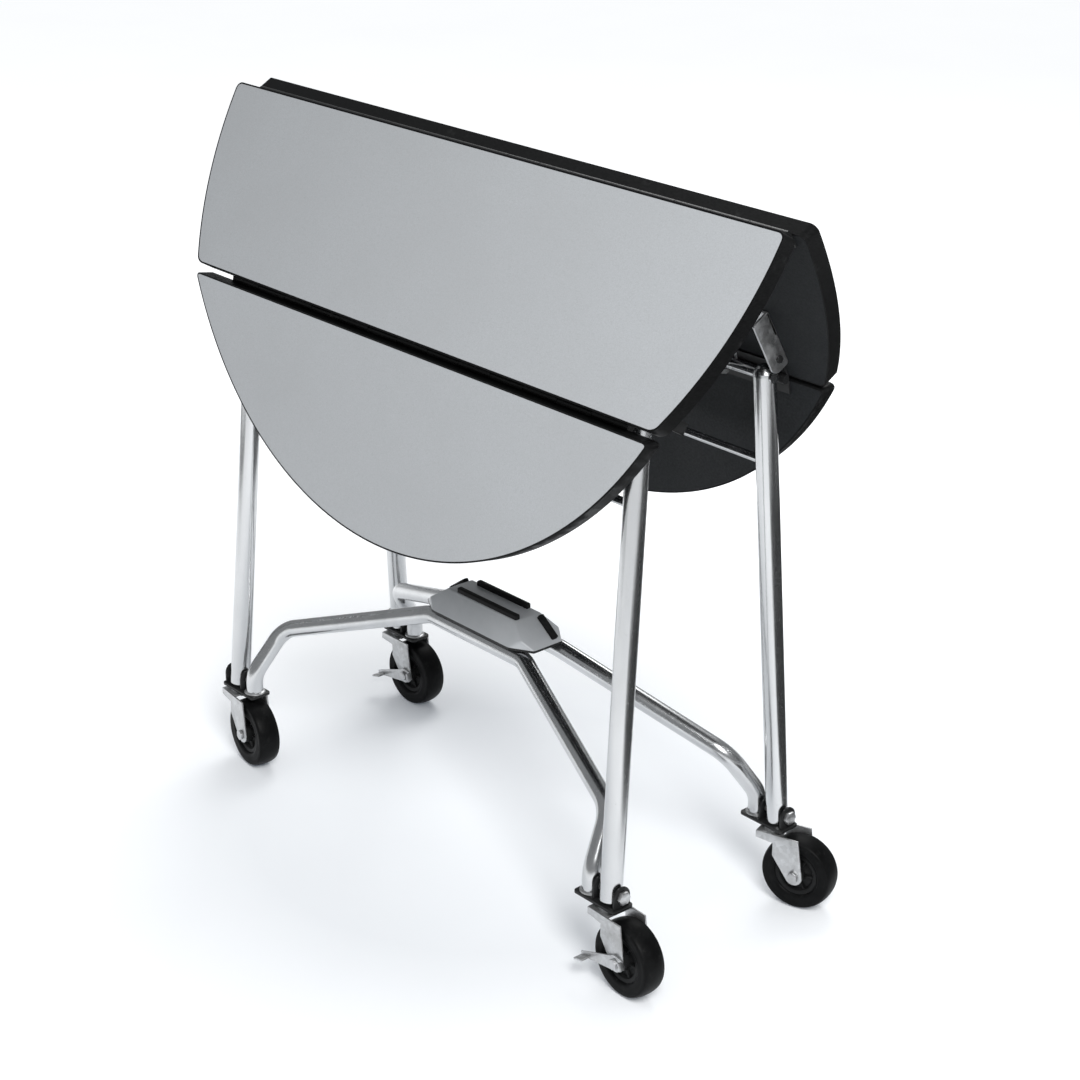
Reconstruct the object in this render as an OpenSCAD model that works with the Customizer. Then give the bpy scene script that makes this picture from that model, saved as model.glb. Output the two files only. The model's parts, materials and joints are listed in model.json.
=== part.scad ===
// Folding room-service table on casters, folded up for storage.
// The ridge between the two halves of the top runs along X, the front is -Y and the floor is z = 0.
// Two leg frames stand on a bent-tube base; their rods carry the inner leaves, and the outer leaves hang.

/* [Top] */
// Diameter of the round top when it is open
top_d = 914.4; // [880:0.2:960]
// Distance from the ridge hinge to the outer hinge
inner_leaf_w = 228.6; // [222:0.2:236]
// Thickness of a leaf with its laminate
leaf_t = 19; // [16:0.5:25]
// Thickness of the laminate sheet
laminate_t = 1.2; // [0.8:0.1:2]
// Thickness of the vinyl edge band
edge_t = 2; // [1.5:0.1:4]
// Gap between neighbouring leaves when the top is flat
leaf_gap = 3; // [2:0.1:5]

/* [Fold] */
// Slope of the inner leaves when the table is folded
fold_angle = 60; // [54:1:64]
// Extra slope of the outer leaves when the table is folded
drop_angle = 20; // [12:1:24]

/* [Hinges] */
// Depth of a hinge pin's axis below the underside of the leaves
hinge_depth = 5.5; // [5.5:0.1:7]
// Outer radius of a hinge knuckle
knuckle_r = 5; // [4:0.1:5]
// Radius of a hinge pin
hinge_pin_r = 2.5; // [2:0.1:3]
// Thickness of a hinge wing
wing_t = 2; // [1.6:0.1:2.5]
// Distance from a hinge pin's axis to the wing's free edge
wing_w = 18.5; // [15:0.5:20]
// Nominal length of one knuckle
knuckle_pitch = 50; // [40:1:80]
// Length of the ridge hinge
ridge_hinge_len = 880; // [760:5:880]
// Length of an outer hinge
drop_hinge_len = 690; // [600:5:760]

/* [Leg frames] */
// Outer diameter of a leg tube
leg_d = 25.4; // [22:0.1:28]
// Wall of a leg tube
leg_wall = 1.6; // [1.2:0.1:2.5]
// Distance from the foot pivot to the rod at the leg's top
leg_len = 540; // [530:1:570]
// Half the distance between the foot pivots along the ridge
foot_x = 350; // [342:1:358]
// Half the distance between the foot pivots across the ridge
foot_y = 132; // [128:1:139]
// Half the distance between the leg tops of one frame
leg_top_x = 335; // [325:1:342]
// Diameter of the rod that joins the leg tops
pivot_rod_d = 12.7; // [10:0.1:14]
// Distance from the ridge hinge to the rod, measured along the leaf
pivot_reach = 210; // [204:0.5:212]
// Depth of the rod's axis below the leaf's underside
pivot_depth = 21; // [20:0.5:26]
// Diameter of the lower stretcher rod
stretcher_d = 9.5; // [8:0.5:12]
// Distance from the top rod down to the stretcher rod
stretcher_drop = 100; // [92:1:150]

/* [Leaf brackets] */
// Thickness of the bracket sheet
bracket_t = 3; // [2.5:0.1:4]
// Clearance between a leg and each ear of its bracket
ear_gap = 3.3; // [2:0.1:6]
// Width of a bracket's foot flange
flange_w = 10; // [8:1:20]
// Where the bracket starts, measured from the ridge hinge
bracket_start = 132; // [120:1:140]
// Where the flanges end, measured from the ridge hinge
flange_end = 205; // [196:1:205]
// Length of the window that the rod travels in while the table folds
window_len = 31; // [31:1:34]
// Height of that window beyond the rod's own diameter
window_rise = 9.4; // [9.4:0.1:12]
// Depth of a bracket's outer ear
outer_ear_h = 24; // [20:1:26]
// Distance from a leg's axis in to the ear with the rod's window
ear_reach = 55; // [45:1:65]

/* [Leaf stays] */
// Distance of a stay from the middle of the rod
stay_x = 240; // [200:1:245]
// Reach of a stay beyond the rod
stay_len = 90; // [80:1:95]
// Thickness of a stay
stay_t = 8; // [6:0.5:14]
// Depth of a stay's arm
stay_bar = 12; // [10:0.5:14]
// Slope of a stay below the inner leaf when the table is folded
stay_fold = 60; // [45:1:70]

/* [Base] */
// Outer diameter of a base tube
base_tube_d = 22; // [19:0.5:24]
// Wall of a base tube
base_tube_wall = 1.5; // [1.2:0.1:2.5]
// Radius of the tube bends
bend_r = 40; // [34:1:46]
// Half the length of the straight middle of a base tube
middle_half = 85; // [70:1:110]
// Distance of the straight middle from the centre plane
middle_y = 27; // [24:1:34]
// Height of the straight middle's axis
middle_z = 260; // [250:1:270]
// Place of the outer bend along the ridge
bend_x = 305; // [298:1:312]
// Distance of the outer bend from the centre plane
bend_y = 94; // [88:1:100]
// Height of the outer bend
bend_z = 181; // [172:1:190]
// Distance from the foot pivot in to the upright tube end
stub_in = 31; // [30:0.5:34]
// Height of the upright tube end
stub_h = 24; // [22:1:28]

/* [Centre box] */
// Length of the box at its bottom
box_len = 196; // [180:2:220]
// Length of its top
box_top_len = 124; // [110:2:140]
// Length of the straight part of its bottom edge
box_side = 140; // [120:2:160]
// Width of the box at its bottom
box_w = 76; // [70:1:80]
// Width of its narrow ends at the bottom
box_end_w = 44; // [36:1:56]
// Width of the box at its top
box_top_w = 38; // [32:1:46]
// Height of the box above its base plate
box_h = 26; // [20:1:34]
// Sheet thickness of the box
box_sheet = 1.5; // [1:0.1:2.5]
// Thickness of the base plate under the box
box_plate_t = 3; // [2:0.5:5]
// Thickness of the rubber rests on the box
rest_t = 6; // [4:0.5:8]
// Width of the long rests
rest_w = 7; // [5:0.5:9]
// Length of the long rest at the back
rest_len = 92; // [80:2:104]
// How much further the front one runs to the right
rest_more = 16; // [0:1:16]
// Length of the end pads, up the slope
pad_len = 34; // [28:1:38]
// Width of the end pads
pad_w = 8; // [6:1:9]
// Distance of the end pads behind the middle of the box
pad_y = 14; // [8:0.5:14]
// Thickness of the end pads
pad_t = 5; // [3:0.5:6]

/* [Foot brackets] */
// Height of the foot pivots above the floor
foot_z = 112; // [110:0.5:118]
// Thickness of the bracket plate
foot_plate_t = 4; // [3:0.5:5]
// Underside of the bracket plate above the floor
foot_plate_z = 95.5; // [95:0.5:97]
// Thickness of a bracket ear
foot_ear_t = 3; // [2.5:0.5:3.5]
// Radius of an ear's rounded top
foot_ear_r = 12; // [10:0.5:14]
// Radius of the pivot bolt
foot_bolt_r = 5; // [4:0.5:6]
// Length of leg tube below the pivot
leg_end = 9.5; // [8:0.5:9.5]
// Half width of the bracket plate
foot_half_w = 15; // [14:0.5:18]

/* [Casters] */
// Diameter of a wheel
wheel_d = 88.9; // [86:0.1:90]
// Width of a tyre
tyre_w = 28.5; // [26:0.5:30]
// Radius of a wheel hub
hub_r = 26; // [23:0.5:28]
// Distance from the swivel axis back to the axle
trail = 33; // [32:0.5:38]
// Sheet thickness of a fork
fork_t = 2.5; // [2:0.1:3]
// Clearance between the tyre and each side of its fork
fork_gap = 2.5; // [2:0.1:4]
// Height of the fork's crown above the floor
crown_z = 89.5; // [89:0.1:90]
// Reach of the crown in front of the swivel axis
crown_front = 17; // [15:0.5:20]
// Reach of the crown behind the swivel axis
crown_end = 14; // [12:0.5:16]
// Radius of a fork's boss round the axle
fork_boss_r = 11; // [10:0.5:13]
// Height of the straight front edge of a fork's cheek
cheek_drop = 27; // [23:1:31]
// Radius of an axle bolt
axle_r = 4; // [3:0.1:5]
// Turn of the front left caster
turn_fl = -7.2; // [-30:0.2:30]
// Turn of the front right caster
turn_fr = -2.6; // [-30:0.2:30]
// Turn of the back left caster
turn_bl = 0.6; // [-30:0.2:30]
// Turn of the back right caster
turn_br = 17.2; // [-30:0.2:30]
// Reach of a brake lever beyond its axle
lever_len = 58; // [54:1:66]
// Thickness of a brake lever
lever_t = 2.5; // [2:0.1:4]
// Length of a brake lever's pedal
pedal_len = 14; // [10:1:16]
// Width of a brake lever's pedal
pedal_w = 14; // [10:1:18]
// Slope of a brake lever down to its pedal
lever_tilt = 15; // [10:1:25]

/* [Hidden] */

$fn = 48;
eps = 0.01;
// Radial clearances: of a pin that turns, of a part that seats, and of a part that must stay clear
run_fit = 0.05;
seat_fit = 0.05;
clear = 0.4;
// How far a cutting tool reaches past what it cuts
past = 1;

// Finishes
laminate_grey = "#b4b8ba";
vinyl_black = "#1c1e20";
board_black = "#25292b";
hinge_black = "#2b2d2f";
chrome = "#c9cdd0";
zinc = "#b9bcbe";
box_grey = "#9aa1a3";
rubber_black = "#141516";
wheel_black = "#26282a";

// The folded and the flat place of the rod, from the leaf's slope and the leg's length
top_r = top_d / 2;
pivot_below = pivot_depth - hinge_depth;
rod_y = pivot_reach * cos(fold_angle) - pivot_below * sin(fold_angle);
leg_lean = asin((foot_y - rod_y) / leg_len);
rod_z = foot_z + leg_len * cos(leg_lean);
ridge_z = rod_z + pivot_reach * sin(fold_angle) + pivot_below * cos(fold_angle);
leg_slant = atan((foot_x - leg_top_x) / leg_len);

rod_r = pivot_rod_d / 2;
leg_r = leg_d / 2;
wheel_r = wheel_d / 2;
foot_plate_top = foot_plate_z + foot_plate_t;
ear_in = leg_r + ear_gap;
fork_in = tyre_w / 2 + fork_gap;
fork_out = fork_in + fork_t;
crown_top = crown_z + fork_t;
box_z = middle_z + base_tube_d / 2 + box_plate_t;

// ---------- frames of reference ----------

// Draws its children at the front, or turned half round for the back
module side(back) {
  rotate([0, 0, back ? 180 : 0])
    children();
}

// An inner leaf's frame: origin on the ridge hinge, the leaf runs to -Y, its top faces +Z
module inner_frame(back) {
  side(back)
    translate([0, 0, ridge_z])
      rotate([fold_angle, 0, 0])
        children();
}

// An outer leaf's frame: origin on the outer hinge, directions as above
module outer_frame(back) {
  inner_frame(back)
    translate([0, -inner_leaf_w, 0])
      rotate([drop_angle, 0, 0])
        children();
}

// A leg frame's frame: origin midway between the foot pivots, the rod at z = leg_len
module leg_frame(back) {
  side(back)
    translate([0, -foot_y, foot_z])
      rotate([-leg_lean, 0, 0])
        children();
}

// The frame of the leaf stays: origin on the rod, the stays run to -Y
module stay_frame(back) {
  side(back)
    translate([0, -rod_y, rod_z])
      rotate([fold_angle + stay_fold, 0, 0])
        children();
}

// A caster's frame: origin on the floor under the swivel axis, the wheel trails along +X
module caster_frame(sx, sy, turn) {
  translate([sx * foot_x, sy * foot_y, 0])
    rotate([0, 0, turn])
      children();
}

module x_rod(r, len) {
  rotate([0, 90, 0])
    cylinder(r = r, h = len, center = true);
}

module y_rod(r, len) {
  rotate([90, 0, 0])
    cylinder(r = r, h = len, center = true);
}

// ---------- leaves ----------

// Outline of a leaf between two distances from the ridge, drawn inset from its edge
module leaf_outline(near, far, inset) {
  intersection() {
    circle(r = top_r - inset, $fn = 180);
    translate([-top_r, -far + inset])
      square([2 * top_r, far - near - 2 * inset]);
  }
}

module leaf_slab(near, far, inset, low, high) {
  translate([0, 0, hinge_depth + low])
    linear_extrude(high - low)
      leaf_outline(near, far, inset);
}

module leaf_core(near, far) {
  leaf_slab(near, far, edge_t, 0, leaf_t - laminate_t);
}

module leaf_laminate(near, far) {
  leaf_slab(near, far, edge_t, leaf_t - laminate_t, leaf_t);
}

module leaf_edge(near, far) {
  translate([0, 0, hinge_depth])
    linear_extrude(leaf_t)
      difference() {
        leaf_outline(near, far, 0);
        leaf_outline(near, far, edge_t);
      }
}

inner_near = leaf_gap / 2;
inner_far = inner_leaf_w - leaf_gap / 2;
outer_near = inner_leaf_w + leaf_gap / 2;
outer_far = top_r + edge_t;

module inner_leaf(back) {
  color(board_black)
    inner_frame(back)
      leaf_core(inner_near, inner_far);
}

module inner_laminate(back) {
  color(laminate_grey)
    inner_frame(back)
      leaf_laminate(inner_near, inner_far);
}

module inner_edge(back) {
  color(vinyl_black)
    inner_frame(back)
      leaf_edge(inner_near, inner_far);
}

// Puts an outer leaf, which is drawn from the ridge, on its own hinge
module from_outer_hinge(back) {
  outer_frame(back)
    translate([0, inner_leaf_w, 0])
      children();
}

module outer_leaf(back) {
  color(board_black)
    from_outer_hinge(back)
      leaf_core(outer_near, outer_far);
}

module outer_laminate(back) {
  color(laminate_grey)
    from_outer_hinge(back)
      leaf_laminate(outer_near, outer_far);
}

module outer_edge(back) {
  color(vinyl_black)
    from_outer_hinge(back)
      leaf_edge(outer_near, outer_far);
}

// ---------- piano hinges ----------

function knuckle_count(len) = 2 * floor(len / knuckle_pitch / 2) + 1;

// Draws its children once at the middle of every second knuckle, from knuckle number first
module each_knuckle(len, first) {
  count = knuckle_count(len);
  pitch = len / count;
  for (i = [first : 2 : count - 1])
    translate([(i + 0.5) * pitch - len / 2, 0, 0])
      children();
}

// One wing on a hinge axis along X: its plate lies under the leaf and runs to -Y
module hinge_wing(len, first) {
  pitch = len / knuckle_count(len);
  pocket_y = sqrt(pow(knuckle_r + clear, 2) - pow(hinge_depth - wing_t, 2));
  difference() {
    union() {
      translate([-len / 2, -wing_w, hinge_depth - wing_t])
        cube([len, wing_w, wing_t]);
      each_knuckle(len, first)
        x_rod(knuckle_r, pitch);
    }
    x_rod(hinge_pin_r + run_fit, len + 2 * past);
    each_knuckle(len, 1 - first)
      translate([-pitch / 2 - clear, -pocket_y, -knuckle_r - clear])
        cube([pitch + 2 * clear, pocket_y + knuckle_r + clear, hinge_depth + knuckle_r + clear + past]);
  }
}

module hinge_pin(len) {
  x_rod(hinge_pin_r, len);
}

module ridge_hinge_pin() {
  color(hinge_black)
    translate([0, 0, ridge_z])
      hinge_pin(ridge_hinge_len);
}

module ridge_hinge_wing(back) {
  color(hinge_black)
    inner_frame(back)
      hinge_wing(ridge_hinge_len, back ? 1 : 0);
}

module outer_hinge_pin(back) {
  color(hinge_black)
    outer_frame(back)
      hinge_pin(drop_hinge_len);
}

module outer_hinge_inner_wing(back) {
  color(hinge_black)
    inner_frame(back)
      translate([0, -inner_leaf_w, 0])
        rotate([0, 0, 180])
          hinge_wing(drop_hinge_len, 0);
}

module outer_hinge_outer_wing(back) {
  color(hinge_black)
    outer_frame(back)
      hinge_wing(drop_hinge_len, 1);
}

// ---------- leaf brackets ----------

// Width of sheet left round the rod's window, and the chamfer of an ear's corners
ear_wall = 4.5;
ear_chamfer = 6;
// Space between the rod and the edge of its window
window_gap = 0.7;
// Level of the window's upper row of corner circles below the underside
window_top = pivot_depth - window_rise + 1.6;
// Step under the leaf where an ear passes the outer hinge's wing
wing_step = wing_t + 1.5;

// Side view of the inner ear with the rod's window: x runs from the ridge outwards, y down from the underside
module inner_ear_outline() {
  low = window_top + window_rise + rod_r + ear_wall;
  tip = pivot_reach + rod_r + window_gap + ear_wall;
  difference() {
    polygon([
      [bracket_start, 0], [flange_end, 0], [flange_end, wing_step], [tip, wing_step + ear_wall],
      [tip, low - ear_chamfer], [tip - ear_chamfer, low],
      [pivot_reach - window_len - 2 * ear_wall, low], [bracket_start, bracket_t + ear_chamfer],
    ]);
    rod_window(window_top, window_top + window_rise);
  }
}

// Side view of the outer ear, which covers the leg's top and stops short of the outer hinge
module outer_ear_outline() {
  polygon([
    [bracket_start, 0], [flange_end, 0], [flange_end, outer_ear_h - ear_chamfer],
    [flange_end - ear_chamfer, outer_ear_h], [bracket_start, outer_ear_h],
  ]);
}

// Window for the rod: a rounded box from its folded place towards the ridge
module rod_window(top, bottom) {
  near = pivot_reach - window_len;
  gap_r = rod_r + window_gap;
  for (x = [near, pivot_reach])
    for (y = [top, bottom])
      translate([x, y])
        circle(r = gap_r);
  translate([near - gap_r, top])
    square([window_len + 2 * gap_r, bottom - top]);
  translate([near, top - gap_r])
    square([window_len, bottom - top + 2 * gap_r]);
}

// Stands an ear's side view up in the leaf's frame, centred on a distance from the leg
module upright_ear(x) {
  translate([x, 0, 0])
    rotate([0, 90, 0])
      rotate([0, 0, -90])
        linear_extrude(bracket_t, center = true)
          children();
}

// A folded sheet bracket round the top of one leg, in the inner leaf's frame
module leaf_bracket(sx) {
  bridge_end = pivot_reach - window_len - leg_r - bracket_t;
  translate([sx * leg_top_x, 0, hinge_depth])
    mirror([sx < 0 ? 1 : 0, 0, 0]) {
      upright_ear(-ear_reach - bracket_t / 2)
        inner_ear_outline();
      upright_ear(ear_in + bracket_t / 2)
        outer_ear_outline();
      translate([-ear_reach - flange_w, -flange_end, -bracket_t])
        cube([flange_w, flange_end - bracket_start, bracket_t]);
      translate([-ear_reach - bracket_t, -bridge_end, -bracket_t])
        cube([ear_reach + ear_in + 2 * bracket_t, bridge_end - bracket_start, bracket_t]);
    }
}

module leaf_brackets(back) {
  color(zinc)
    inner_frame(back)
      for (sx = [-1, 1])
        leaf_bracket(sx);
}

// ---------- leg frames ----------

// How far the solid end of a leg reaches below its dome
plug_lap = 2;
// Half length of the stretcher rod, which ends in the middle of each leg
stretcher_x = leg_top_x + (foot_x - leg_top_x) * stretcher_drop / leg_len;
// Collars that keep the stays in place on the rod
collar_r = rod_r + 3;
collar_w = 5;
collar_gap = 0.2;
// Length of rod that shows past a leg
rod_end = 1.5;

// Profile of a leg to turn: open at the foot, domed and solid at the top
module leg_profile(len) {
  dome = [for (a = [0 : 15 : 90]) [leg_r * cos(a), len + leg_r * sin(a)]];
  bore_r = leg_r - leg_wall;
  plug = len - leg_r - plug_lap;
  polygon(concat([[bore_r, -leg_end], [leg_r, -leg_end]], dome, [[0, plug], [bore_r, plug]]));
}

module leg(back, sx) {
  color(chrome)
    leg_frame(back)
      difference() {
        translate([sx * foot_x, 0, 0])
          rotate([0, -sx * leg_slant, 0])
            rotate_extrude()
              leg_profile(leg_len / cos(leg_slant));
        translate([sx * foot_x, 0, 0])
          x_rod(foot_bolt_r + run_fit, 3 * leg_d);
        translate([sx * leg_top_x, 0, leg_len])
          x_rod(rod_r + seat_fit, 3 * leg_d);
        translate([sx * (stretcher_x - leg_d), 0, leg_len - stretcher_drop])
          x_rod(stretcher_d / 2 + seat_fit, 2 * leg_d);
      }
}

module pivot_rod(back) {
  color(chrome)
    leg_frame(back)
      translate([0, 0, leg_len]) {
        x_rod(rod_r, 2 * (leg_top_x + leg_r + rod_end));
        for (sx = [-1, 1])
          for (s = [-1, 1])
            translate([sx * stay_x + s * (stay_t / 2 + collar_gap + collar_w / 2), 0, 0])
              x_rod(collar_r, collar_w);
      }
}

module stretcher_rod(back) {
  color(chrome)
    leg_frame(back)
      translate([0, 0, leg_len - stretcher_drop])
        x_rod(stretcher_d / 2, 2 * stretcher_x);
}

// ---------- leaf stays ----------

// Width of a stay's upturned foot, and its gap under the leaf when the table is open
stay_foot_w = 14;
stay_gap = 0.3;

// Side view of a stay: x runs out along the arm and y up to the leaf
module stay_outline() {
  circle(r = stay_bar);
  translate([0, -stay_bar / 2])
    square([stay_len, stay_bar]);
  translate([stay_len - stay_foot_w, 0])
    square([stay_foot_w, pivot_depth - stay_gap]);
}

module leaf_stays(back) {
  color(hinge_black)
    stay_frame(back)
      for (sx = [-1, 1])
        translate([sx * stay_x, 0, 0])
          difference() {
            rotate([90, 0, -90])
              linear_extrude(stay_t, center = true)
                stay_outline();
            x_rod(rod_r + run_fit, 2 * stay_t);
          }
}

// ---------- base ----------

function unit(v) = v / norm(v);

// Angle between two unit directions
function turn_between(u, v) = acos(max(-1, min(1, u * v)));

// One straight stretch of a bar from p to q
module bar(p, q, r) {
  d = q - p;
  translate(p)
    rotate([0, acos(d.z / norm(d)), atan2(d.y, d.x)])
      cylinder(r = r, h = norm(d));
}

// A bend is drawn fuller than the straights by this much, and the straights run this far into it
bend_swell = 0.1;
bend_lap = 1;

// The round bend at corner c between directions u and v
module bend(c, u, v, r) {
  phi = turn_between(u, v);
  w = unit(v - (u * v) * u);
  start = c - bend_r * tan(phi / 2) * u;
  centre = start + bend_r * w;
  z = cross(-w, u);
  multmatrix([
    [-w.x, u.x, z.x, centre.x],
    [-w.y, u.y, z.y, centre.y],
    [-w.z, u.z, z.z, centre.z],
    [0, 0, 0, 1],
  ])
    rotate_extrude(angle = phi)
      translate([bend_r, 0])
        circle(r = r + bend_swell);
}

// Length that the bend takes off each stretch at corner i of a route
function bend_cut(route, i) =
  i == 0 || i == len(route) - 1 ? 0
  : bend_r * tan(turn_between(unit(route[i] - route[i - 1]), unit(route[i + 1] - route[i])) / 2) - bend_lap;

// A round bar along a route of corners
module bent_bar(route, r) {
  for (i = [0 : len(route) - 2]) {
    d = unit(route[i + 1] - route[i]);
    bar(route[i] + bend_cut(route, i) * d, route[i + 1] - bend_cut(route, i + 1) * d, r);
  }
  for (i = [1 : len(route) - 2])
    bend(route[i], unit(route[i] - route[i - 1]), unit(route[i + 1] - route[i]), r);
}

// Half of a base tube's route, from the upright end at the foot to the middle
function half_route(sx) = [
  [sx * (foot_x - stub_in), -foot_y, foot_plate_top],
  [sx * (foot_x - stub_in), -foot_y, foot_plate_top + stub_h],
  [sx * bend_x, -bend_y, bend_z],
  [sx * middle_half, -middle_y, middle_z],
];

function reversed(list) = [for (i = [len(list) - 1 : -1 : 0]) list[i]];

module base_tube(back) {
  route = concat(half_route(1), reversed(half_route(-1)));
  color(chrome)
    side(back)
      difference() {
        bent_bar(route, base_tube_d / 2);
        bent_bar(route, base_tube_d / 2 - base_tube_wall);
      }
}

// ---------- centre box ----------

// Plan of the box, drawn inset: straight sides, corners cut off towards its narrow ends
module box_plan(inset) {
  end_x = box_len / 2 - inset;
  side_x = (box_side - inset) / 2;
  side_y = box_w / 2 - inset;
  end_y = (box_end_w - inset) / 2;
  polygon([
    [-end_x, -end_y], [-side_x, -side_y], [side_x, -side_y], [end_x, -end_y],
    [end_x, end_y], [side_x, side_y], [-side_x, side_y], [-end_x, end_y],
  ]);
}

// A long wedge-sided bar: low and high are half its width at the bottom and the top
module wedge(low, high, rise, len) {
  linear_extrude(len, center = true)
    polygon([[-low, 0], [low, 0], [high, rise], [-high, rise]]);
}

// Block with four sloping sides, shrunk on all sides by inset
module box_block(inset) {
  rise = box_h - inset;
  intersection() {
    linear_extrude(rise)
      box_plan(inset);
    rotate([90, 0, 90])
      wedge(box_w / 2 - inset, box_top_w / 2 - inset, rise, box_len);
    rotate([90, 0, 0])
      wedge(box_len / 2 - inset, box_top_len / 2 - inset, rise, box_w);
  }
}

module box_base_plate() {
  color(hinge_black)
    translate([0, 0, box_z - box_plate_t])
      linear_extrude(box_plate_t)
        box_plan(0);
}

module box_cover() {
  color(box_grey)
    translate([0, 0, box_z])
      difference() {
        box_block(0);
        translate([0, 0, -eps])
          box_block(box_sheet);
      }
}

// Rubber rests: a long one on each upper edge, and a narrow pad down each sloping end
module box_rests() {
  end_run = (box_len - box_top_len) / 2;
  slope = atan(box_h / end_run);
  color(rubber_black)
    translate([0, 0, box_z]) {
      translate([-rest_len / 2, -box_top_w / 2, box_h])
        cube([rest_len + rest_more, rest_w, rest_t]);
      translate([-rest_len / 2, box_top_w / 2 - rest_w, box_h])
        cube([rest_len, rest_w, rest_t]);
      for (end = [0, 1])
        mirror([end, 0, 0])
          translate([(box_len - end_run) / 2, pad_y, box_h / 2])
            rotate([0, slope, 0])
              translate([-pad_len / 2, -pad_w / 2, 0])
                cube([pad_len, pad_w, pad_t]);
    }
}

// ---------- foot brackets ----------

// Distance from a pivot to its bracket's ears, and how far the plate reaches past ears and tube
ear_in_foot = leg_r + 2;
ear_out_foot = ear_in_foot + foot_ear_t;
plate_lip = 3;
// Spigot that the base tube's end sits on
spigot_h = 12;
kingpin_r = 5;

module foot_bracket(sx, sy) {
  inner = stub_in + base_tube_d / 2 + plate_lip;
  translate([sx * foot_x, sy * foot_y, 0])
    mirror([sx < 0 ? 1 : 0, 0, 0])
      difference() {
        union() {
          translate([-inner, -foot_half_w, foot_plate_z])
            cube([inner + ear_out_foot + plate_lip, 2 * foot_half_w, foot_plate_t]);
          for (s = [-1, 1])
            translate([s * (ear_in_foot + foot_ear_t / 2), 0, 0])
              foot_ear();
          translate([-stub_in, 0, foot_plate_z])
            cylinder(r = base_tube_d / 2 - base_tube_wall - seat_fit, h = foot_plate_t + spigot_h);
        }
        translate([0, 0, foot_z])
          x_rod(foot_bolt_r + seat_fit, 3 * leg_d);
        cylinder(r = kingpin_r + seat_fit, h = 2 * foot_z);
      }
}

// The two brackets of one leg frame
module foot_brackets(sy) {
  color(zinc)
    for (sx = [-1, 1])
      foot_bracket(sx, sy);
}

module foot_ear() {
  translate([-foot_ear_t / 2, -foot_ear_r, foot_plate_z + foot_plate_t / 2])
    cube([foot_ear_t, 2 * foot_ear_r, foot_z - foot_plate_z - foot_plate_t / 2]);
  translate([0, 0, foot_z])
    x_rod(foot_ear_r, foot_ear_t);
}

// Bolt heads, as shares of the bolt's radius
head_share = 1.7;
bolt_head_h = 5;

// The four pivot bolts: head outside, thread in the inner ear
module foot_pivot_bolts() {
  color(zinc)
    for (sx = [-1, 1])
      for (sy = [-1, 1])
        translate([sx * foot_x, sy * foot_y, foot_z])
          mirror([sx < 0 ? 1 : 0, 0, 0])
            rotate([0, 90, 0]) {
              translate([0, 0, -ear_out_foot])
                cylinder(r = foot_bolt_r, h = 2 * ear_out_foot + bolt_head_h / 2);
              translate([0, 0, ear_out_foot])
                cylinder(r = head_share * foot_bolt_r, h = bolt_head_h, $fn = 6);
            }
}

// Nut under the crown, and the washer that stands for the ball race above it
pin_nut_h = 5;
pin_nut_r = 8;
race_r = 14;

// The four kingpins: riveted flush in the bracket plates
module caster_kingpins() {
  race_z = crown_top + run_fit;
  color(zinc)
    for (sx = [-1, 1])
      for (sy = [-1, 1])
        translate([sx * foot_x, sy * foot_y, crown_z - pin_nut_h]) {
          cylinder(r = kingpin_r, h = foot_plate_top - crown_z + pin_nut_h);
          cylinder(r = pin_nut_r, h = pin_nut_h - run_fit);
          translate([0, 0, race_z - crown_z + pin_nut_h])
            cylinder(r = race_r, h = foot_plate_z - race_z);
        }
}

// ---------- casters ----------

// How far a cheek's upper edge reaches behind the axle, and where its front edge stands
cheek_back = 4;
cheek_front = 5;
// Height of the band that joins a cheek to the front of the crown
cheek_band = 9;

// Side view of one fork cheek: x trails behind the swivel axis
module cheek_outline() {
  slant = fork_boss_r * sqrt(0.5);
  polygon([
    [-crown_front, crown_top], [trail + cheek_back, crown_top], [trail + fork_boss_r, wheel_r],
    [trail - slant, wheel_r - slant], [cheek_front, crown_top - cheek_drop],
    [cheek_front, crown_top - cheek_band - fork_t], [-crown_front, crown_top - cheek_band],
  ]);
  translate([trail, wheel_r])
    circle(r = fork_boss_r);
}

module fork(sx, sy, turn) {
  color(zinc)
    caster_frame(sx, sy, turn)
      difference() {
        union() {
          for (s = [-1, 1])
            translate([0, s * (fork_in + fork_t / 2), 0])
              rotate([90, 0, 0])
                linear_extrude(fork_t, center = true)
                  cheek_outline();
          translate([-crown_front, -fork_in - fork_t / 2, crown_z])
            cube([crown_front + crown_end, 2 * fork_in + fork_t, fork_t]);
        }
        translate([trail, 0, wheel_r])
          y_rod(axle_r + seat_fit, 2 * fork_out + 2 * past);
        cylinder(r = kingpin_r + run_fit, h = 2 * foot_z);
      }
}

axle_head_h = 4;

// Axle bolt with its head on the front side, past the brake lever, and a nut behind
module axle(sx, sy, turn, braked) {
  head_r = head_share * axle_r;
  front = fork_out + (braked ? lever_t + 2 * run_fit : 0);
  color(zinc)
    caster_frame(sx, sy, turn)
      translate([trail, 0, wheel_r])
        rotate([90, 0, 0]) {
          translate([0, 0, -fork_out])
            cylinder(r = axle_r, h = front + fork_out);
          for (z = [front, -fork_out - axle_head_h])
            translate([0, 0, z])
              cylinder(r = head_r, h = axle_head_h, $fn = 6);
        }
}

// The wheel's web is thinner than the tyre, and its boss fills the fork but for a little play
web_inset = 3;
boss_play = 0.5;
hub_boss_r = 11;

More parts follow.
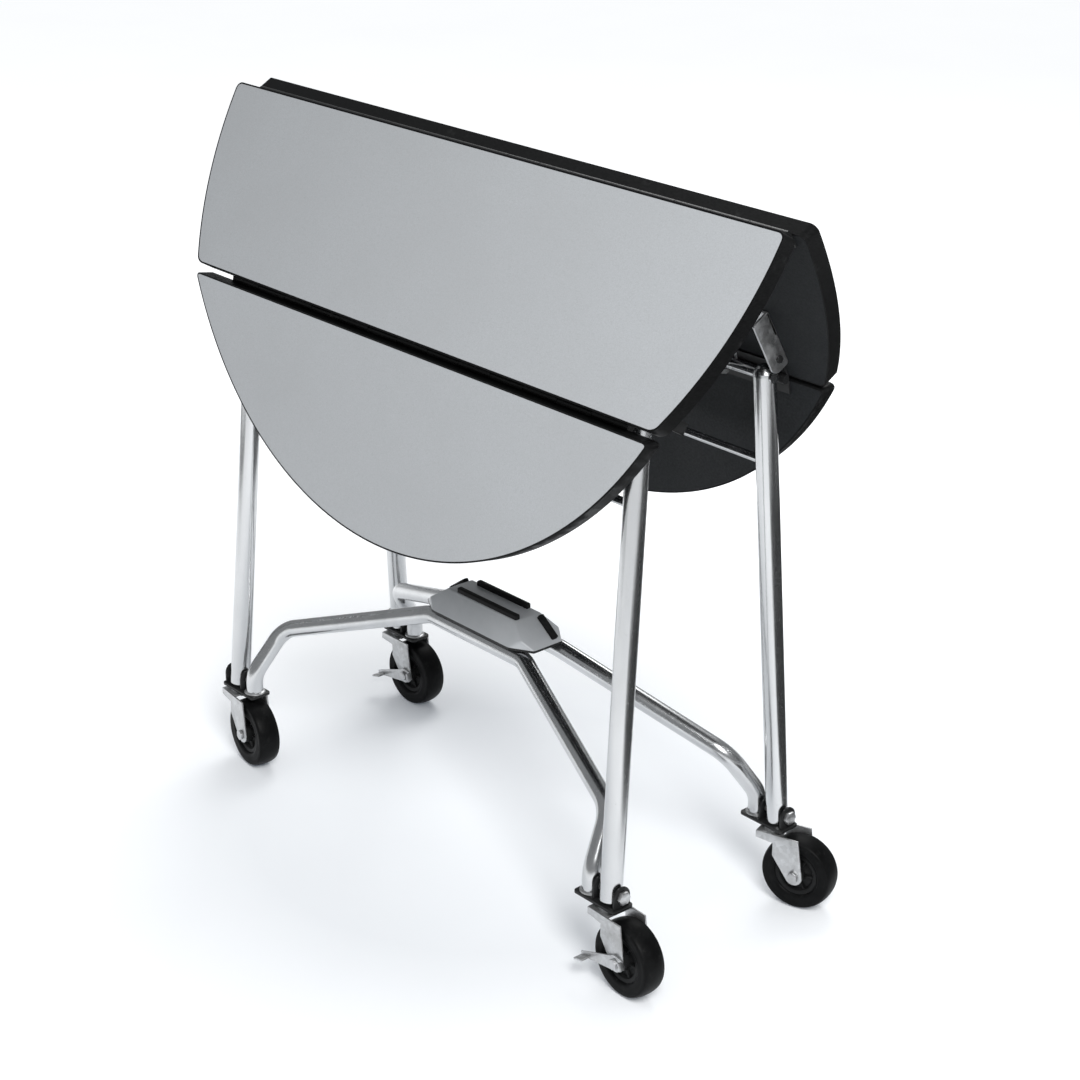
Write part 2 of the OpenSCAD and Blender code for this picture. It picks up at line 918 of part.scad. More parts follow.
module hub(sx, sy, turn) {
  boss_w = 2 * (fork_in - boss_play);
  color(wheel_black)
    caster_frame(sx, sy, turn)
      translate([trail, 0, wheel_r])
        rotate([90, 0, 0])
          difference() {
            union() {
              cylinder(r = hub_r, h = tyre_w - 2 * web_inset, center = true);
              cylinder(r = hub_boss_r, h = boss_w, center = true);
            }
            cylinder(r = axle_r + run_fit, h = boss_w + 2 * past, center = true);
          }
}

// Height of the tyre's crowned tread, and the width of the lip beside the wheel's web
crown_rise = 4;
lip_w = 4;

// A tyre with a crowned tread
module tyre(sx, sy, turn) {
  half = tyre_w / 2;
  flat = 0.98;
  tread = [for (t = [-1 : 0.25 : 1]) [wheel_r - crown_rise * (1 - sqrt(1 - t * t * flat)), t * half]];
  color(rubber_black)
    caster_frame(sx, sy, turn)
      translate([trail, 0, wheel_r])
        rotate([90, 0, 0])
          rotate_extrude($fn = 72)
            polygon(concat(
              [[hub_r, web_inset - half], [hub_r + lip_w, -half]],
              tread,
              [[hub_r + lip_w, half], [hub_r, half - web_inset]]
            ));
}

lever_boss_r = 10;
lever_tip_w = 6;
lever_tail = 14;
tab_h = 8;

// Side view of a brake lever from its axle: x runs to its pedal
module lever_outline() {
  root = lever_boss_r - 1;
  circle(r = lever_boss_r);
  polygon([
    [-lever_tail, -lever_boss_r / 2], [0, -root], [lever_len, -lever_tip_w / 2],
    [lever_len, lever_tip_w / 2], [0, root], [-lever_tail, lever_boss_r / 2],
  ]);
}

module brake_lever(sx, sy, turn) {
  color(zinc)
    caster_frame(sx, sy, turn)
      translate([trail, 0, wheel_r])
        mirror([1, 0, 0])
          rotate([90, 0, 0])
            rotate([0, 0, -lever_tilt])
              translate([0, 0, fork_out + run_fit])
                difference() {
                  union() {
                    linear_extrude(lever_t)
                      lever_outline();
                    translate([lever_len - pedal_len, -lever_tip_w / 2, 0])
                      cube([pedal_len, lever_t, pedal_w]);
                    translate([-lever_tail, -lever_boss_r / 2, 0])
                      cube([lever_t, lever_boss_r, tab_h]);
                  }
                  cylinder(r = axle_r + run_fit, h = 2 * (lever_t + past), center = true);
                }
}

inner_leaf(false);  // inner_leaf_front
inner_laminate(false);  // inner_laminate_front
inner_edge(false);  // inner_edge_front
inner_leaf(true);  // inner_leaf_back
inner_laminate(true);  // inner_laminate_back
inner_edge(true);  // inner_edge_back
outer_leaf(false);  // outer_leaf_front
outer_laminate(false);  // outer_laminate_front
outer_edge(false);  // outer_edge_front
outer_leaf(true);  // outer_leaf_back
outer_laminate(true);  // outer_laminate_back
outer_edge(true);  // outer_edge_back
ridge_hinge_pin();
ridge_hinge_wing(false);  // ridge_hinge_wing_front
ridge_hinge_wing(true);  // ridge_hinge_wing_back
outer_hinge_pin(false);  // outer_hinge_pin_front
outer_hinge_inner_wing(false);  // outer_hinge_inner_wing_front
outer_hinge_outer_wing(false);  // outer_hinge_outer_wing_front
outer_hinge_pin(true);  // outer_hinge_pin_back
outer_hinge_inner_wing(true);  // outer_hinge_inner_wing_back
outer_hinge_outer_wing(true);  // outer_hinge_outer_wing_back
leaf_brackets(false);  // leaf_brackets_front
leaf_brackets(true);  // leaf_brackets_back
leg(false, -1);  // leg_front_left
leg(false, 1);  // leg_front_right
leg(true, 1);  // leg_back_left
leg(true, -1);  // leg_back_right
pivot_rod(false);  // pivot_rod_front
pivot_rod(true);  // pivot_rod_back
stretcher_rod(false);  // stretcher_rod_front
stretcher_rod(true);  // stretcher_rod_back
leaf_stays(false);  // leaf_stays_front
leaf_stays(true);  // leaf_stays_back
base_tube(false);  // base_tube_front
base_tube(true);  // base_tube_back
box_base_plate();
box_cover();
box_rests();
foot_brackets(-1);  // foot_brackets_front
foot_brackets(1);  // foot_brackets_back
foot_pivot_bolts();
caster_kingpins();
fork(-1, -1, turn_fl);  // fork_front_left
axle(-1, -1, turn_fl, false);  // axle_front_left
hub(-1, -1, turn_fl);  // hub_front_left
tyre(-1, -1, turn_fl);  // tyre_front_left
fork(1, -1, turn_fr);  // fork_front_right
axle(1, -1, turn_fr, true);  // axle_front_right
hub(1, -1, turn_fr);  // hub_front_right
tyre(1, -1, turn_fr);  // tyre_front_right
fork(-1, 1, turn_bl);  // fork_back_left
axle(-1, 1, turn_bl, true);  // axle_back_left
hub(-1, 1, turn_bl);  // hub_back_left
tyre(-1, 1, turn_bl);  // tyre_back_left
fork(1, 1, turn_br);  // fork_back_right
axle(1, 1, turn_br, false);  // axle_back_right
hub(1, 1, turn_br);  // hub_back_right
tyre(1, 1, turn_br);  // tyre_back_right
brake_lever(-1, 1, turn_bl);  // brake_lever_back_left
brake_lever(1, -1, turn_fr);  // brake_lever_front_right
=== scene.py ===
import json
import math

import bmesh
import bpy
from mathutils import Matrix, Vector


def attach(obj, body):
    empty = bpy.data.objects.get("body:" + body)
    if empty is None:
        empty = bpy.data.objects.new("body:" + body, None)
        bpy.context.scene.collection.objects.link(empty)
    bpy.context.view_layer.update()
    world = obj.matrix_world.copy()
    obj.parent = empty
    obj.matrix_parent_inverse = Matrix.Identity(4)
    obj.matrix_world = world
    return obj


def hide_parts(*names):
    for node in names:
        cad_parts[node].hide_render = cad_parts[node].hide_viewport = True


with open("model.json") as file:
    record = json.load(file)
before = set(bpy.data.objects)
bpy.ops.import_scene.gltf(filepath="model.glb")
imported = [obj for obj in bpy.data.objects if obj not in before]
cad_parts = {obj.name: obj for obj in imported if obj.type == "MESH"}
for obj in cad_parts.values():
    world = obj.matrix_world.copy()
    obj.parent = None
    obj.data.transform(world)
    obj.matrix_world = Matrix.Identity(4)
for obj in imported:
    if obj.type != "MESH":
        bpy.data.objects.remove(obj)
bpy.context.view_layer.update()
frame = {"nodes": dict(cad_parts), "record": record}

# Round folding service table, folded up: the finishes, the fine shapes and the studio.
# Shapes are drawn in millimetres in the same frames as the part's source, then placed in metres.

# ---------- sizes, as in the part's source (mm and degrees) ----------

TOP_R = 457.2
INNER_W = 228.6
LEAF_T = 19
LAMINATE_T = 1.2
EDGE_T = 2
LEAF_GAP = 3
FOLD = 60
DROP = 20
HINGE_DEPTH = 5.5
WING_T = 2
RIDGE_LEN = 880
DROP_LEN = 690
LEG_R = 12.7
LEG_LEN = 540
FOOT_X = 350
FOOT_Y = 132
FOOT_Z = 112
LEG_TOP_X = 335
ROD_R = 6.35
REACH = 210
ROD_DEPTH = 21
BRACKET_T = 3
EAR_IN = 16
EAR_REACH = 55
FLANGE_W = 10
BRACKET_START = 132
BRACKET_END = 205
WINDOW_LEN = 31
WINDOW_RISE = 9.4
EAR_H = 24
EAR_WALL = 4.5
EAR_CHAMFER = 6
TUBE_R = 11
BEND_R = 40
MIDDLE = (85, 27, 260)
ELBOW = (305, 94, 181)
STUB_H = 24
BOX_LEN = 196
BOX_TOP_LEN = 124
BOX_SIDE = 140
BOX_W = 76
BOX_END_W = 44
BOX_TOP_W = 38
BOX_H = 26
BOX_Z = 274
REST_T = 6
REST_W = 7
REST_LEN = 92
REST_MORE = 16
PAD_LEN = 34
PAD_W = 8
PAD_Y = 14
PAD_T = 5
STUB_IN = 31
FOOT_HALF_W = 15
FOOT_PLATE_Z = 95.5
FOOT_PLATE_T = 4
FOOT_EAR_IN = 14.7
FOOT_EAR_T = 3
FOOT_EAR_R = 12
BOLT_R = 5
KINGPIN_R = 5
RACE_R = 14
WHEEL_R = 44.45
TYRE_W = 28.5
HUB_R = 26
TRAIL = 33
FORK_T = 2.5
FORK_IN = 16.75
CROWN_Z = 89.5
CROWN_FRONT = 17
CROWN_END = 14
CHEEK_DROP = 27
BOSS_R = 11
AXLE_R = 4
LEVER_LEN = 58
LEVER_T = 2.5
PEDAL_LEN = 14
PEDAL_W = 14
LEVER_TILT = 15
TURNS = {"front_left": -7.2, "front_right": -2.6, "back_left": 0.6, "back_right": 17.2}
BRAKED = ("front_right", "back_left")

ROD_BELOW = ROD_DEPTH - HINGE_DEPTH
ROD_Y = REACH * math.cos(math.radians(FOLD)) - ROD_BELOW * math.sin(math.radians(FOLD))
LEAN = math.degrees(math.asin((FOOT_Y - ROD_Y) / LEG_LEN))
ROD_Z = FOOT_Z + LEG_LEN * math.cos(math.radians(LEAN))
RIDGE_Z = ROD_Z + REACH * math.sin(math.radians(FOLD)) + ROD_BELOW * math.cos(math.radians(FOLD))
CROWN_TOP = CROWN_Z + FORK_T

# ---------- camera ----------

# Fitted to the photo: where the camera stands (m), where it looks, its roll (degrees) and its lens (mm)
CAMERA_PLACE = (1.89799, -1.62753, 1.43671)
CAMERA_AHEAD = (-0.68571, 0.61458, -0.38999)
CAMERA_ROLL = 0.479
CAMERA_LENS = 76.515
SENSOR_W = 36


def set_camera():
    ahead = Vector(CAMERA_AHEAD).normalized()
    side = ahead.cross(Vector((0, 0, 1))).normalized()
    over = side.cross(ahead)
    roll = math.radians(CAMERA_ROLL)
    right = side * math.cos(roll) + over * math.sin(roll)
    up = over * math.cos(roll) - side * math.sin(roll)
    lens = bpy.data.cameras.new("camera")
    lens.sensor_width = SENSOR_W
    lens.lens = CAMERA_LENS
    lens.clip_start = 0.05
    lens.clip_end = 100
    camera = bpy.data.objects.new("camera", lens)
    bpy.context.scene.collection.objects.link(camera)
    place = Matrix((right, up, -ahead)).transposed().to_4x4()
    place.translation = CAMERA_PLACE
    camera.matrix_world = place
    bpy.context.scene.camera = camera


set_camera()

# ---------- frames of reference ----------

MM = Matrix.Scale(0.001, 4)


def shift(x, y, z):
    return Matrix.Translation((x, y, z))


def spun(angle, axis):
    return Matrix.Rotation(math.radians(angle), 4, axis)


def mirrored(sign):
    """Turns left into right where sign is -1."""
    return Matrix.Diagonal((sign, 1, 1, 1))


def half(side):
    return spun(180 if side == "back" else 0, "Z")


def inner_frame(side):
    """Origin on the ridge hinge; the inner leaf runs to -Y and its top faces +Z."""
    return half(side) @ shift(0, 0, RIDGE_Z) @ spun(FOLD, "X")


def outer_frame(side):
    """Origin on the outer hinge, directions as in the inner frame."""
    return inner_frame(side) @ shift(0, -INNER_W, 0) @ spun(DROP, "X")


def caster_frame(corner):
    """Origin on the floor under the swivel axis; the wheel trails along +X."""
    x, y = foot_place(corner)
    return shift(x, y, 0) @ spun(TURNS[corner], "Z")


def foot_place(corner):
    return (FOOT_X if "right" in corner else -FOOT_X, FOOT_Y if "back" in corner else -FOOT_Y)


# ---------- mesh helpers ----------


def turned(profile, steps=48, closed=False):
    """Spins a side view of (radius, height) points round the Z axis."""
    shape = bmesh.new()
    points = [shape.verts.new((r, 0, h)) for r, h in profile]
    ends = points[1:] + (points[:1] if closed else [])
    lines = [shape.edges.new(pair) for pair in zip(points, ends)]
    bmesh.ops.spin(
        shape, geom=points + lines, axis=(0, 0, 1), cent=(0, 0, 0),
        angle=math.tau, steps=steps, use_merge=True,
    )
    bmesh.ops.remove_doubles(shape, verts=shape.verts, dist=0.0005)
    return shape


def loop(shape, outline):
    corners = [shape.verts.new((x, y, 0)) for x, y in outline]
    return [shape.edges.new(pair) for pair in zip(corners, corners[1:] + corners[:1])]


def thicken(shape, thick):
    """Pulls every face of a flat sheet up by thick."""
    pulled = bmesh.ops.extrude_face_region(shape, geom=shape.faces[:])
    top = [v for v in pulled["geom"] if isinstance(v, bmesh.types.BMVert)]
    bmesh.ops.translate(shape, verts=top, vec=(0, 0, thick))
    bmesh.ops.recalc_face_normals(shape, faces=shape.faces)


def plate(outline, thick, holes=(), round_by=0, rim=0):
    """Flat plate from z = 0 up, with its outline's corners rounded and its rims softened."""
    shape = bmesh.new()
    edges = loop(shape, outline)
    if round_by:
        bmesh.ops.bevel(
            shape, geom=shape.verts[:], offset=round_by, offset_type="OFFSET", segments=5,
            profile=0.5, affect="VERTICES", material=-1, clamp_overlap=True,
        )
        edges = shape.edges[:]
    for hole in holes:
        edges += loop(shape, hole)
    bmesh.ops.triangle_fill(shape, use_beauty=True, use_dissolve=False, edges=edges)
    bmesh.ops.dissolve_limit(shape, angle_limit=0.01, verts=shape.verts[:], edges=shape.edges[:])
    thicken(shape, thick)
    if rim:
        soften(shape, rim)
    return shape


def block(x, y, z, rim=0):
    """Box of these sides, centred in x and y, from z = 0 up."""
    shape = bmesh.new()
    bmesh.ops.create_cube(shape, size=1, matrix=Matrix.Diagonal((x, y, z, 1)))
    bmesh.ops.translate(shape, verts=shape.verts[:], vec=(0, 0, z / 2))
    if rim:
        soften(shape, rim)
    return shape


def circle(x, y, radius, count=24):
    return [
        (x + radius * math.cos(math.tau * i / count), y + radius * math.sin(math.tau * i / count))
        for i in range(count)
    ]


def sharp_edges(shape, angle):
    return [e for e in shape.edges if len(e.link_faces) == 2 and e.calc_face_angle(0) > math.radians(angle)]


def soften(shape, width, segments=2, angle=40, only=None):
    """Rounds the edges that are sharper than angle."""
    edges = [e for e in sharp_edges(shape, angle) if only is None or only(e)]
    if edges:
        bmesh.ops.bevel(
            shape, geom=edges, offset=width, offset_type="OFFSET", segments=segments,
            profile=0.5, affect="EDGES", material=-1, clamp_overlap=True, loop_slide=True,
        )


def joined(*parts):
    """One mesh of several (shape, place) pairs."""
    whole = bmesh.new()
    for shape, place in parts:
        shape.transform(place)
        carrier = bpy.data.meshes.new("carrier")
        shape.to_mesh(carrier)
        shape.free()
        whole.from_mesh(carrier)
        bpy.data.meshes.remove(carrier)
    return whole


def add(name, shape, place, body, slot, stands_for=(), smooth=35):
    """Makes a piece of a shape, at its place in the table, with a body, and with its slot's finish."""
    shape.transform(MM @ place)
    bmesh.ops.remove_doubles(shape, verts=shape.verts, dist=1e-6)
    bmesh.ops.recalc_face_normals(shape, faces=shape.faces)
    mesh = bpy.data.meshes.new(name)
    shape.to_mesh(mesh)
    shape.free()
    mesh.shade_smooth()
    mesh.set_sharp_from_angle(angle=math.radians(smooth))
    mesh.materials.append(FINISHES[slot])
    piece = bpy.data.objects.new(name, mesh)
    bpy.context.scene.collection.objects.link(piece)
    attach(piece, body)
    if stands_for:
        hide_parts(*stands_for)


def screw_head(radius, rise):
    """Low domed head with a small dimple, standing on z = 0."""
    return turned([
        (0, 0), (radius, 0), (radius, rise * 0.35), (radius * 0.8, rise * 0.8), (radius * 0.45, rise),
        (radius * 0.3, rise * 0.55), (0, rise * 0.5),
    ], steps=16)


def hex_head(radius, height, washer=0):
    """Chamfered hexagon head on z = 0, with a washer under it when asked."""
    head = bmesh.new()
    bmesh.ops.create_cone(
        head, cap_ends=True, cap_tris=False, segments=6, radius1=radius, radius2=radius,
        depth=height, matrix=shift(0, 0, height / 2),
    )
    soften(head, height * 0.14, 2)
    parts = [(head, Matrix())]
    if washer:
        ring = turned([(0, 0), (washer, 0), (washer, 0.8), (washer - 0.5, 1.2), (0, 1.2)], steps=32)
        parts.append((ring, Matrix()))
    return joined(*parts)


# ---------- shader helpers ----------


class Term:
    """A shader socket that takes part in sums, so that 1 - mask works."""

    def __init__(self, finish, socket):
        self.finish = finish
        self.socket = socket

    def math(self, operation, *values):
        return self.finish.node("ShaderNodeMath", {"operation": operation}, dict(enumerate(values)))

    def __add__(self, other):
        return self.math("ADD", self, other)

    def __radd__(self, other):
        return self.math("ADD", other, self)

    def __sub__(self, other):
        return self.math("SUBTRACT", self, other)

    def __rsub__(self, other):
        return self.math("SUBTRACT", other, self)

    def __mul__(self, other):
        return self.math("MULTIPLY", self, other)

    def __rmul__(self, other):
        return self.math("MULTIPLY", other, self)


class Finish:
    """A procedural material on object coordinates, in metres."""

    def __init__(self, name, **fixed):
        self.material = bpy.data.materials.new(name)
        self.material.use_nodes = True
        self.tree = self.material.node_tree
        self.shader = self.tree.nodes["Principled BSDF"]
        for socket, value in fixed.items():
            self.shader.inputs[socket.replace("_", " ")].default_value = value

    def node(self, kind, settings=None, inputs=None, out=0):
        """Adds a node: its settings first, then the values or links of its sockets."""
        node = self.tree.nodes.new(kind)
        for key, value in (settings or {}).items():
            setattr(node, key, value)
        for key, value in (inputs or {}).items():
            self.set(self.socket(node, key), value)
        if isinstance(out, str):
            return Term(self, next(s for s in node.outputs if s.identifier == out or s.name == out))
        return Term(self, node.outputs[out])

    @staticmethod
    def socket(node, key):
        if isinstance(key, int):
            return node.inputs[key]
        return next(s for s in node.inputs if key in (s.identifier, s.name))

    def set(self, socket, value):
        if isinstance(value, Term):
            self.tree.links.new(value.socket, socket)
        else:
            socket.default_value = value

    def where(self, stretch=(1, 1, 1), turn=(0, 0, 0)):
        """Object coordinates, stretched or turned."""
        raw = self.node("ShaderNodeTexCoord", out="Object")
        if stretch == (1, 1, 1) and turn == (0, 0, 0):
            return raw
        turn = tuple(math.radians(a) for a in turn)
        return self.node("ShaderNodeMapping", inputs={"Vector": raw, "Rotation": turn, "Scale": stretch})

    def noise(self, scale, detail=2.0, rough=0.5, stretch=(1, 1, 1), turn=(0, 0, 0), warp=0.0):
        return self.node("ShaderNodeTexNoise", inputs={
            "Vector": self.where(stretch, turn), "Scale": scale, "Detail": detail,
            "Roughness": rough, "Distortion": warp,
        }, out="Fac")

    def cells(self, scale):
        """A random value for each cell of a pattern of cells."""
        colour = self.node("ShaderNodeTexVoronoi", {"feature": "F1"}, {
            "Vector": self.where(), "Scale": scale}, out="Color")
        return self.node("ShaderNodeSeparateColor", inputs={0: colour})

    def fit(self, value, low, high, to_low=0.0, to_high=1.0):
        """Maps low..high onto another range, clamped."""
        return self.node("ShaderNodeMapRange", {"clamp": True}, {
            "Value": value, "From Min": low, "From Max": high, "To Min": to_low, "To Max": to_high,
        }, out="Result")

    def blend(self, factor, first, second):
        """Colour mix from first to second."""
        return self.node("ShaderNodeMix", {"data_type": "RGBA", "clamp_factor": True}, {
            "Factor_Float": factor, "A_Color": first, "B_Color": second}, out="Result_Color")

    def paint(self, colour, rough=None, metal=None):
        for name, value in (("Base Color", colour), ("Roughness", rough), ("Metallic", metal)):
            if value is not None:
                self.set(self.shader.inputs[name], value)
        return self

    def bump(self, height, strength, distance):
        relief = self.node("ShaderNodeBump", inputs={
            "Strength": strength, "Distance": distance, "Height": height}, out="Normal")
        self.tree.links.new(relief.socket, self.shader.inputs["Normal"])
        return self


def grey(value, warmth=0.0):
    """A nearly neutral linear colour, cooler where warmth is below zero."""
    return (value * (1 + warmth), value, value * (1 - warmth), 1)


# ---------- finishes ----------


def laminate_finish():
    f = Finish("grey laminate", Specular_IOR_Level=0.3)
    flecks = f.noise(780, detail=3, rough=0.65)
    grain = f.noise(300, detail=2, rough=0.5)
    cloud = f.noise(7, detail=3, rough=0.55, warp=0.4)
    base = f.blend(f.fit(flecks, 0.34, 0.66), grey(0.345, -0.03), grey(0.43, -0.032))
    base = f.blend(f.fit(grain, 0.3, 0.7, 0, 0.5), base, grey(0.41, -0.04))
    base = f.blend(f.fit(cloud, 0.35, 0.7, 0, 0.35), base, grey(0.36, -0.025))
    rubs = f.fit(f.noise(26, detail=5, rough=0.7, stretch=(1, 6, 6), turn=(0, 0, 25)), 0.62, 0.78, 0, 0.25)
    base = f.blend(rubs, base, grey(0.46, -0.02))
    rough = f.fit(cloud, 0.3, 0.7, 0.4, 0.5) - 0.08 * rubs
    return f.paint(base, rough).bump(flecks, 0.12, 0.00025).material


def board_finish():
    f = Finish("black backing board", Specular_IOR_Level=0.12)
    weave = f.noise(420, detail=3, rough=0.6)
    cloud = f.noise(9, detail=4, rough=0.6)
    base = f.blend(f.fit(weave, 0.35, 0.65), grey(0.013, -0.09), grey(0.021, -0.09))
    base = f.blend(f.fit(cloud, 0.5, 0.75, 0, 0.6), base, grey(0.026, -0.08))
    return f.paint(base, f.fit(cloud, 0.3, 0.7, 0.5, 0.66)).bump(weave, 0.2, 0.0003).material


def vinyl_finish():
    f = Finish("black vinyl edge", Specular_IOR_Level=0.08)
    ribs = f.noise(240, detail=2, stretch=(1, 1, 5))
    scuffs = f.fit(f.noise(38, detail=6, rough=0.75), 0.6, 0.74, 0, 0.5)
    base = f.blend(f.fit(ribs, 0.35, 0.65), grey(0.004, -0.03), grey(0.008, -0.03))
    base = f.blend(scuffs, base, grey(0.03, -0.02))
    rough = f.fit(ribs, 0.3, 0.7, 0.42, 0.52) + 0.25 * scuffs
    return f.paint(base, rough).bump(ribs, 0.15, 0.0002).material


def black_steel_finish():
    f = Finish("black painted steel", Specular_IOR_Level=0.25)
    peel = f.noise(520, detail=1)
    wear = f.fit(f.noise(55, detail=6, rough=0.7), 0.63, 0.7)
    base = f.blend(f.fit(f.noise(14, detail=3), 0.35, 0.7), grey(0.01, -0.03), grey(0.018, -0.03))
    base = f.blend(0.7 * wear, base, grey(0.16, 0.03))
    return f.paint(base, 0.36 + 0.2 * wear, 0.75 * wear).bump(peel, 0.12, 0.0002).material


def chrome_finish():
    f = Finish("bright chrome plate")
    haze = f.noise(11, detail=4, rough=0.6, stretch=(1, 1, 0.35))
    streak = f.noise(160, detail=3, rough=0.6, stretch=(1, 1, 0.06))
    pits = f.fit(f.noise(620, detail=2), 0.71, 0.76)
    base = f.blend(f.fit(haze, 0.35, 0.7), grey(0.64, -0.012), grey(0.54, -0.015))
    base = f.blend(0.5 * pits, base, grey(0.2, 0.05))
    rough = f.fit(haze, 0.3, 0.75, 0.16, 0.26) + f.fit(streak, 0.4, 0.8, 0, 0.05) + 0.3 * pits
    return f.paint(base, rough, 1.0 - 0.35 * pits).bump(pits, 0.15, 0.0001).material


def zinc_finish():
    f = Finish("zinc plate")
    spangle = f.cells(210)
    cloud = f.noise(42, detail=5, rough=0.65, warp=0.5)
    dull = f.fit(f.noise(24, detail=5, rough=0.7), 0.52, 0.72)
    base = f.blend(f.fit(spangle, 0, 1), grey(0.5, -0.012), grey(0.64, -0.015))
    base = f.blend(f.fit(cloud, 0.4, 0.7, 0, 0.6), base, grey(0.44, 0.0))
    base = f.blend(0.55 * dull, base, grey(0.3, 0.012))
    rough = f.fit(spangle, 0, 1, 0.3, 0.4) + 0.22 * dull
    return f.paint(base, rough, 0.92 - 0.25 * dull).bump(cloud, 0.12, 0.0003).material


def box_finish():
    f = Finish("grey baked enamel", Coat_Weight=0.25, Coat_Roughness=0.2)
    peel = f.noise(430, detail=2)
    cloud = f.noise(16, detail=4, rough=0.6)
    scuffs = f.fit(f.noise(46, detail=6, rough=0.72, stretch=(1, 3, 3)), 0.6, 0.72, 0, 0.45)
    base = f.blend(f.fit(cloud, 0.35, 0.7), grey(0.46, -0.035), grey(0.4, -0.04))
    base = f.blend(scuffs, base, grey(0.5, -0.02))
    return f.paint(base, f.fit(cloud, 0.3, 0.7, 0.34, 0.46)).bump(peel, 0.1, 0.0002).material


def rubber_finish():
    f = Finish("black rubber rest", Specular_IOR_Level=0.12)
    bloom = f.fit(f.noise(60, detail=5, rough=0.7), 0.45, 0.75)
    grain = f.noise(900, detail=2)
    base = f.blend(bloom, grey(0.007, -0.01), grey(0.018, 0.0))
    return f.paint(base, f.fit(bloom, 0, 1, 0.55, 0.72)).bump(grain, 0.3, 0.0002).material


def tyre_finish():
    f = Finish("black tyre rubber", Specular_IOR_Level=0.08)
    bloom = f.fit(f.noise(34, detail=5, rough=0.65), 0.42, 0.75)
    dust = f.fit(f.noise(120, detail=6, rough=0.75), 0.56, 0.75, 0, 0.5)
    base = f.blend(bloom, grey(0.003, -0.06), grey(0.008, -0.04))
    base = f.blend(dust, base, grey(0.024, 0.01))
    grain = f.noise(800, detail=2)
    return f.paint(base, f.fit(bloom, 0, 1, 0.42, 0.6) + 0.2 * dust).bump(grain, 0.25, 0.0002).material


def wheel_finish():
    f = Finish("black wheel centre", Specular_IOR_Level=0.12)
    cloud = f.noise(50, detail=4, rough=0.6)
    grain = f.noise(650, detail=2)
    base = f.blend(f.fit(cloud, 0.35, 0.7), grey(0.008, -0.03), grey(0.015, -0.02))
    return f.paint(base, f.fit(cloud, 0.3, 0.7, 0.4, 0.55)).bump(grain, 0.2, 0.0002).material


FINISHES = {
    "laminate": laminate_finish(),
    "leaf_board": board_finish(),
    "edge_vinyl": vinyl_finish(),
    "black_steel": black_steel_finish(),
    "chrome_tube": chrome_finish(),
    "zinc_plate": zinc_finish(),
    "box_paint": box_finish(),
    "rubber_rest": rubber_finish(),
    "tyre_rubber": tyre_finish(),
    "wheel_core": wheel_finish(),
}
CAD_SLOTS = {row["node"]: row["material_slot"] for row in frame["record"]["subparts"]}

for node, solid in frame["nodes"].items():
    for material_slot in solid.material_slots:
        material_slot.material = FINISHES[CAD_SLOTS[node]]

# ---------- leaves ----------

LEAF_CORNER = 9
TOP_SIDES = 288
BAND_ROUND = 1.6
LAMINATE_EASE = 0.25
# Lines that cut a leaf into a grid: their pitch, the place of the middle one, and how many to each side
GRID_PITCH = 45
GRID_START = 7
GRID_LINES = 10


def leaf_sheet(near, far):
    """Flat outline of a leaf between two distances from the ridge, with rounded corners."""
    sheet = bmesh.new()
    bmesh.ops.create_circle(sheet, cap_ends=True, radius=TOP_R, segments=TOP_SIDES)
    for y, out in ((-near, 1), (-far, -1)):
        bmesh.ops.bisect_plane(
            sheet, geom=sheet.verts[:] + sheet.edges[:] + sheet.faces[:], dist=0.001,
            plane_co=(0, y, 0), plane_no=(0, out, 0), clear_outer=True,
        )
    ends = []
    for y in (-near, -far):
        row = sorted((v for v in sheet.verts if abs(v.co.y - y) < 0.01), key=lambda v: v.co.x)
        ends += [row[0], row[-1]] if len(row) > 1 else []
    bmesh.ops.bevel(
        sheet, geom=ends, offset=LEAF_CORNER, offset_type="OFFSET", segments=6,
        profile=0.5, affect="VERTICES", material=-1,
    )
    return sheet


def leaf_part(near, far, band=False):
    """The leaf's edge band, or all that lies inside it, cut into a grid so that it stays flat."""
    sheet = leaf_sheet(near, far)
    middle = sheet.faces[:]
    bmesh.ops.inset_region(sheet, faces=middle, thickness=EDGE_T, use_boundary=True, use_even_offset=True)
    drop = middle if band else [face for face in sheet.faces if face not in middle]
    bmesh.ops.delete(sheet, geom=drop, context="FACES")
    for axis in (() if band else (0, 1)):
        for step in range(-GRID_LINES, GRID_LINES + 1):
            point, normal = Vector(), Vector()
            point[axis], normal[axis] = GRID_PITCH * step + GRID_START, 1
            bmesh.ops.bisect_plane(
                sheet, geom=sheet.verts[:] + sheet.edges[:] + sheet.faces[:], dist=0.001,
                plane_co=point, plane_no=normal,
            )
    return sheet


def build_leaf(kind, side, near, far, place, body):
    board = leaf_part(near, far)
    laminate = leaf_part(near, far)
    band = leaf_part(near, far, band=True)
    thicken(board, LEAF_T - LAMINATE_T)
    thicken(laminate, LAMINATE_T)
    thicken(band, LEAF_T)
    middle_y = -(near + min(far, TOP_R)) / 2

    def outer_rim(edge):
        centre = (edge.verts[0].co + edge.verts[1].co) / 2
        sides = [face for face in edge.link_faces if abs(face.normal.z) < 0.5]
        return len(sides) == 1 and sides[0].normal.dot(centre - Vector((0, middle_y, LEAF_T / 2))) > 0

    soften(band, BAND_ROUND, 3, angle=60, only=outer_rim)
    soften(laminate, LAMINATE_EASE, 1, angle=60)
    under = place @ shift(0, 0, HINGE_DEPTH)
    add(f"{kind}_leaf_board_{side}", board, under, body, "leaf_board", [f"{kind}_leaf_{side}"])
    add(f"{kind}_leaf_top_{side}", laminate, under @ shift(0, 0, LEAF_T - LAMINATE_T), body,
        "laminate", [f"{kind}_laminate_{side}"])
    add(f"{kind}_leaf_band_{side}", band, under, body, "edge_vinyl", [f"{kind}_edge_{side}"], smooth=50)


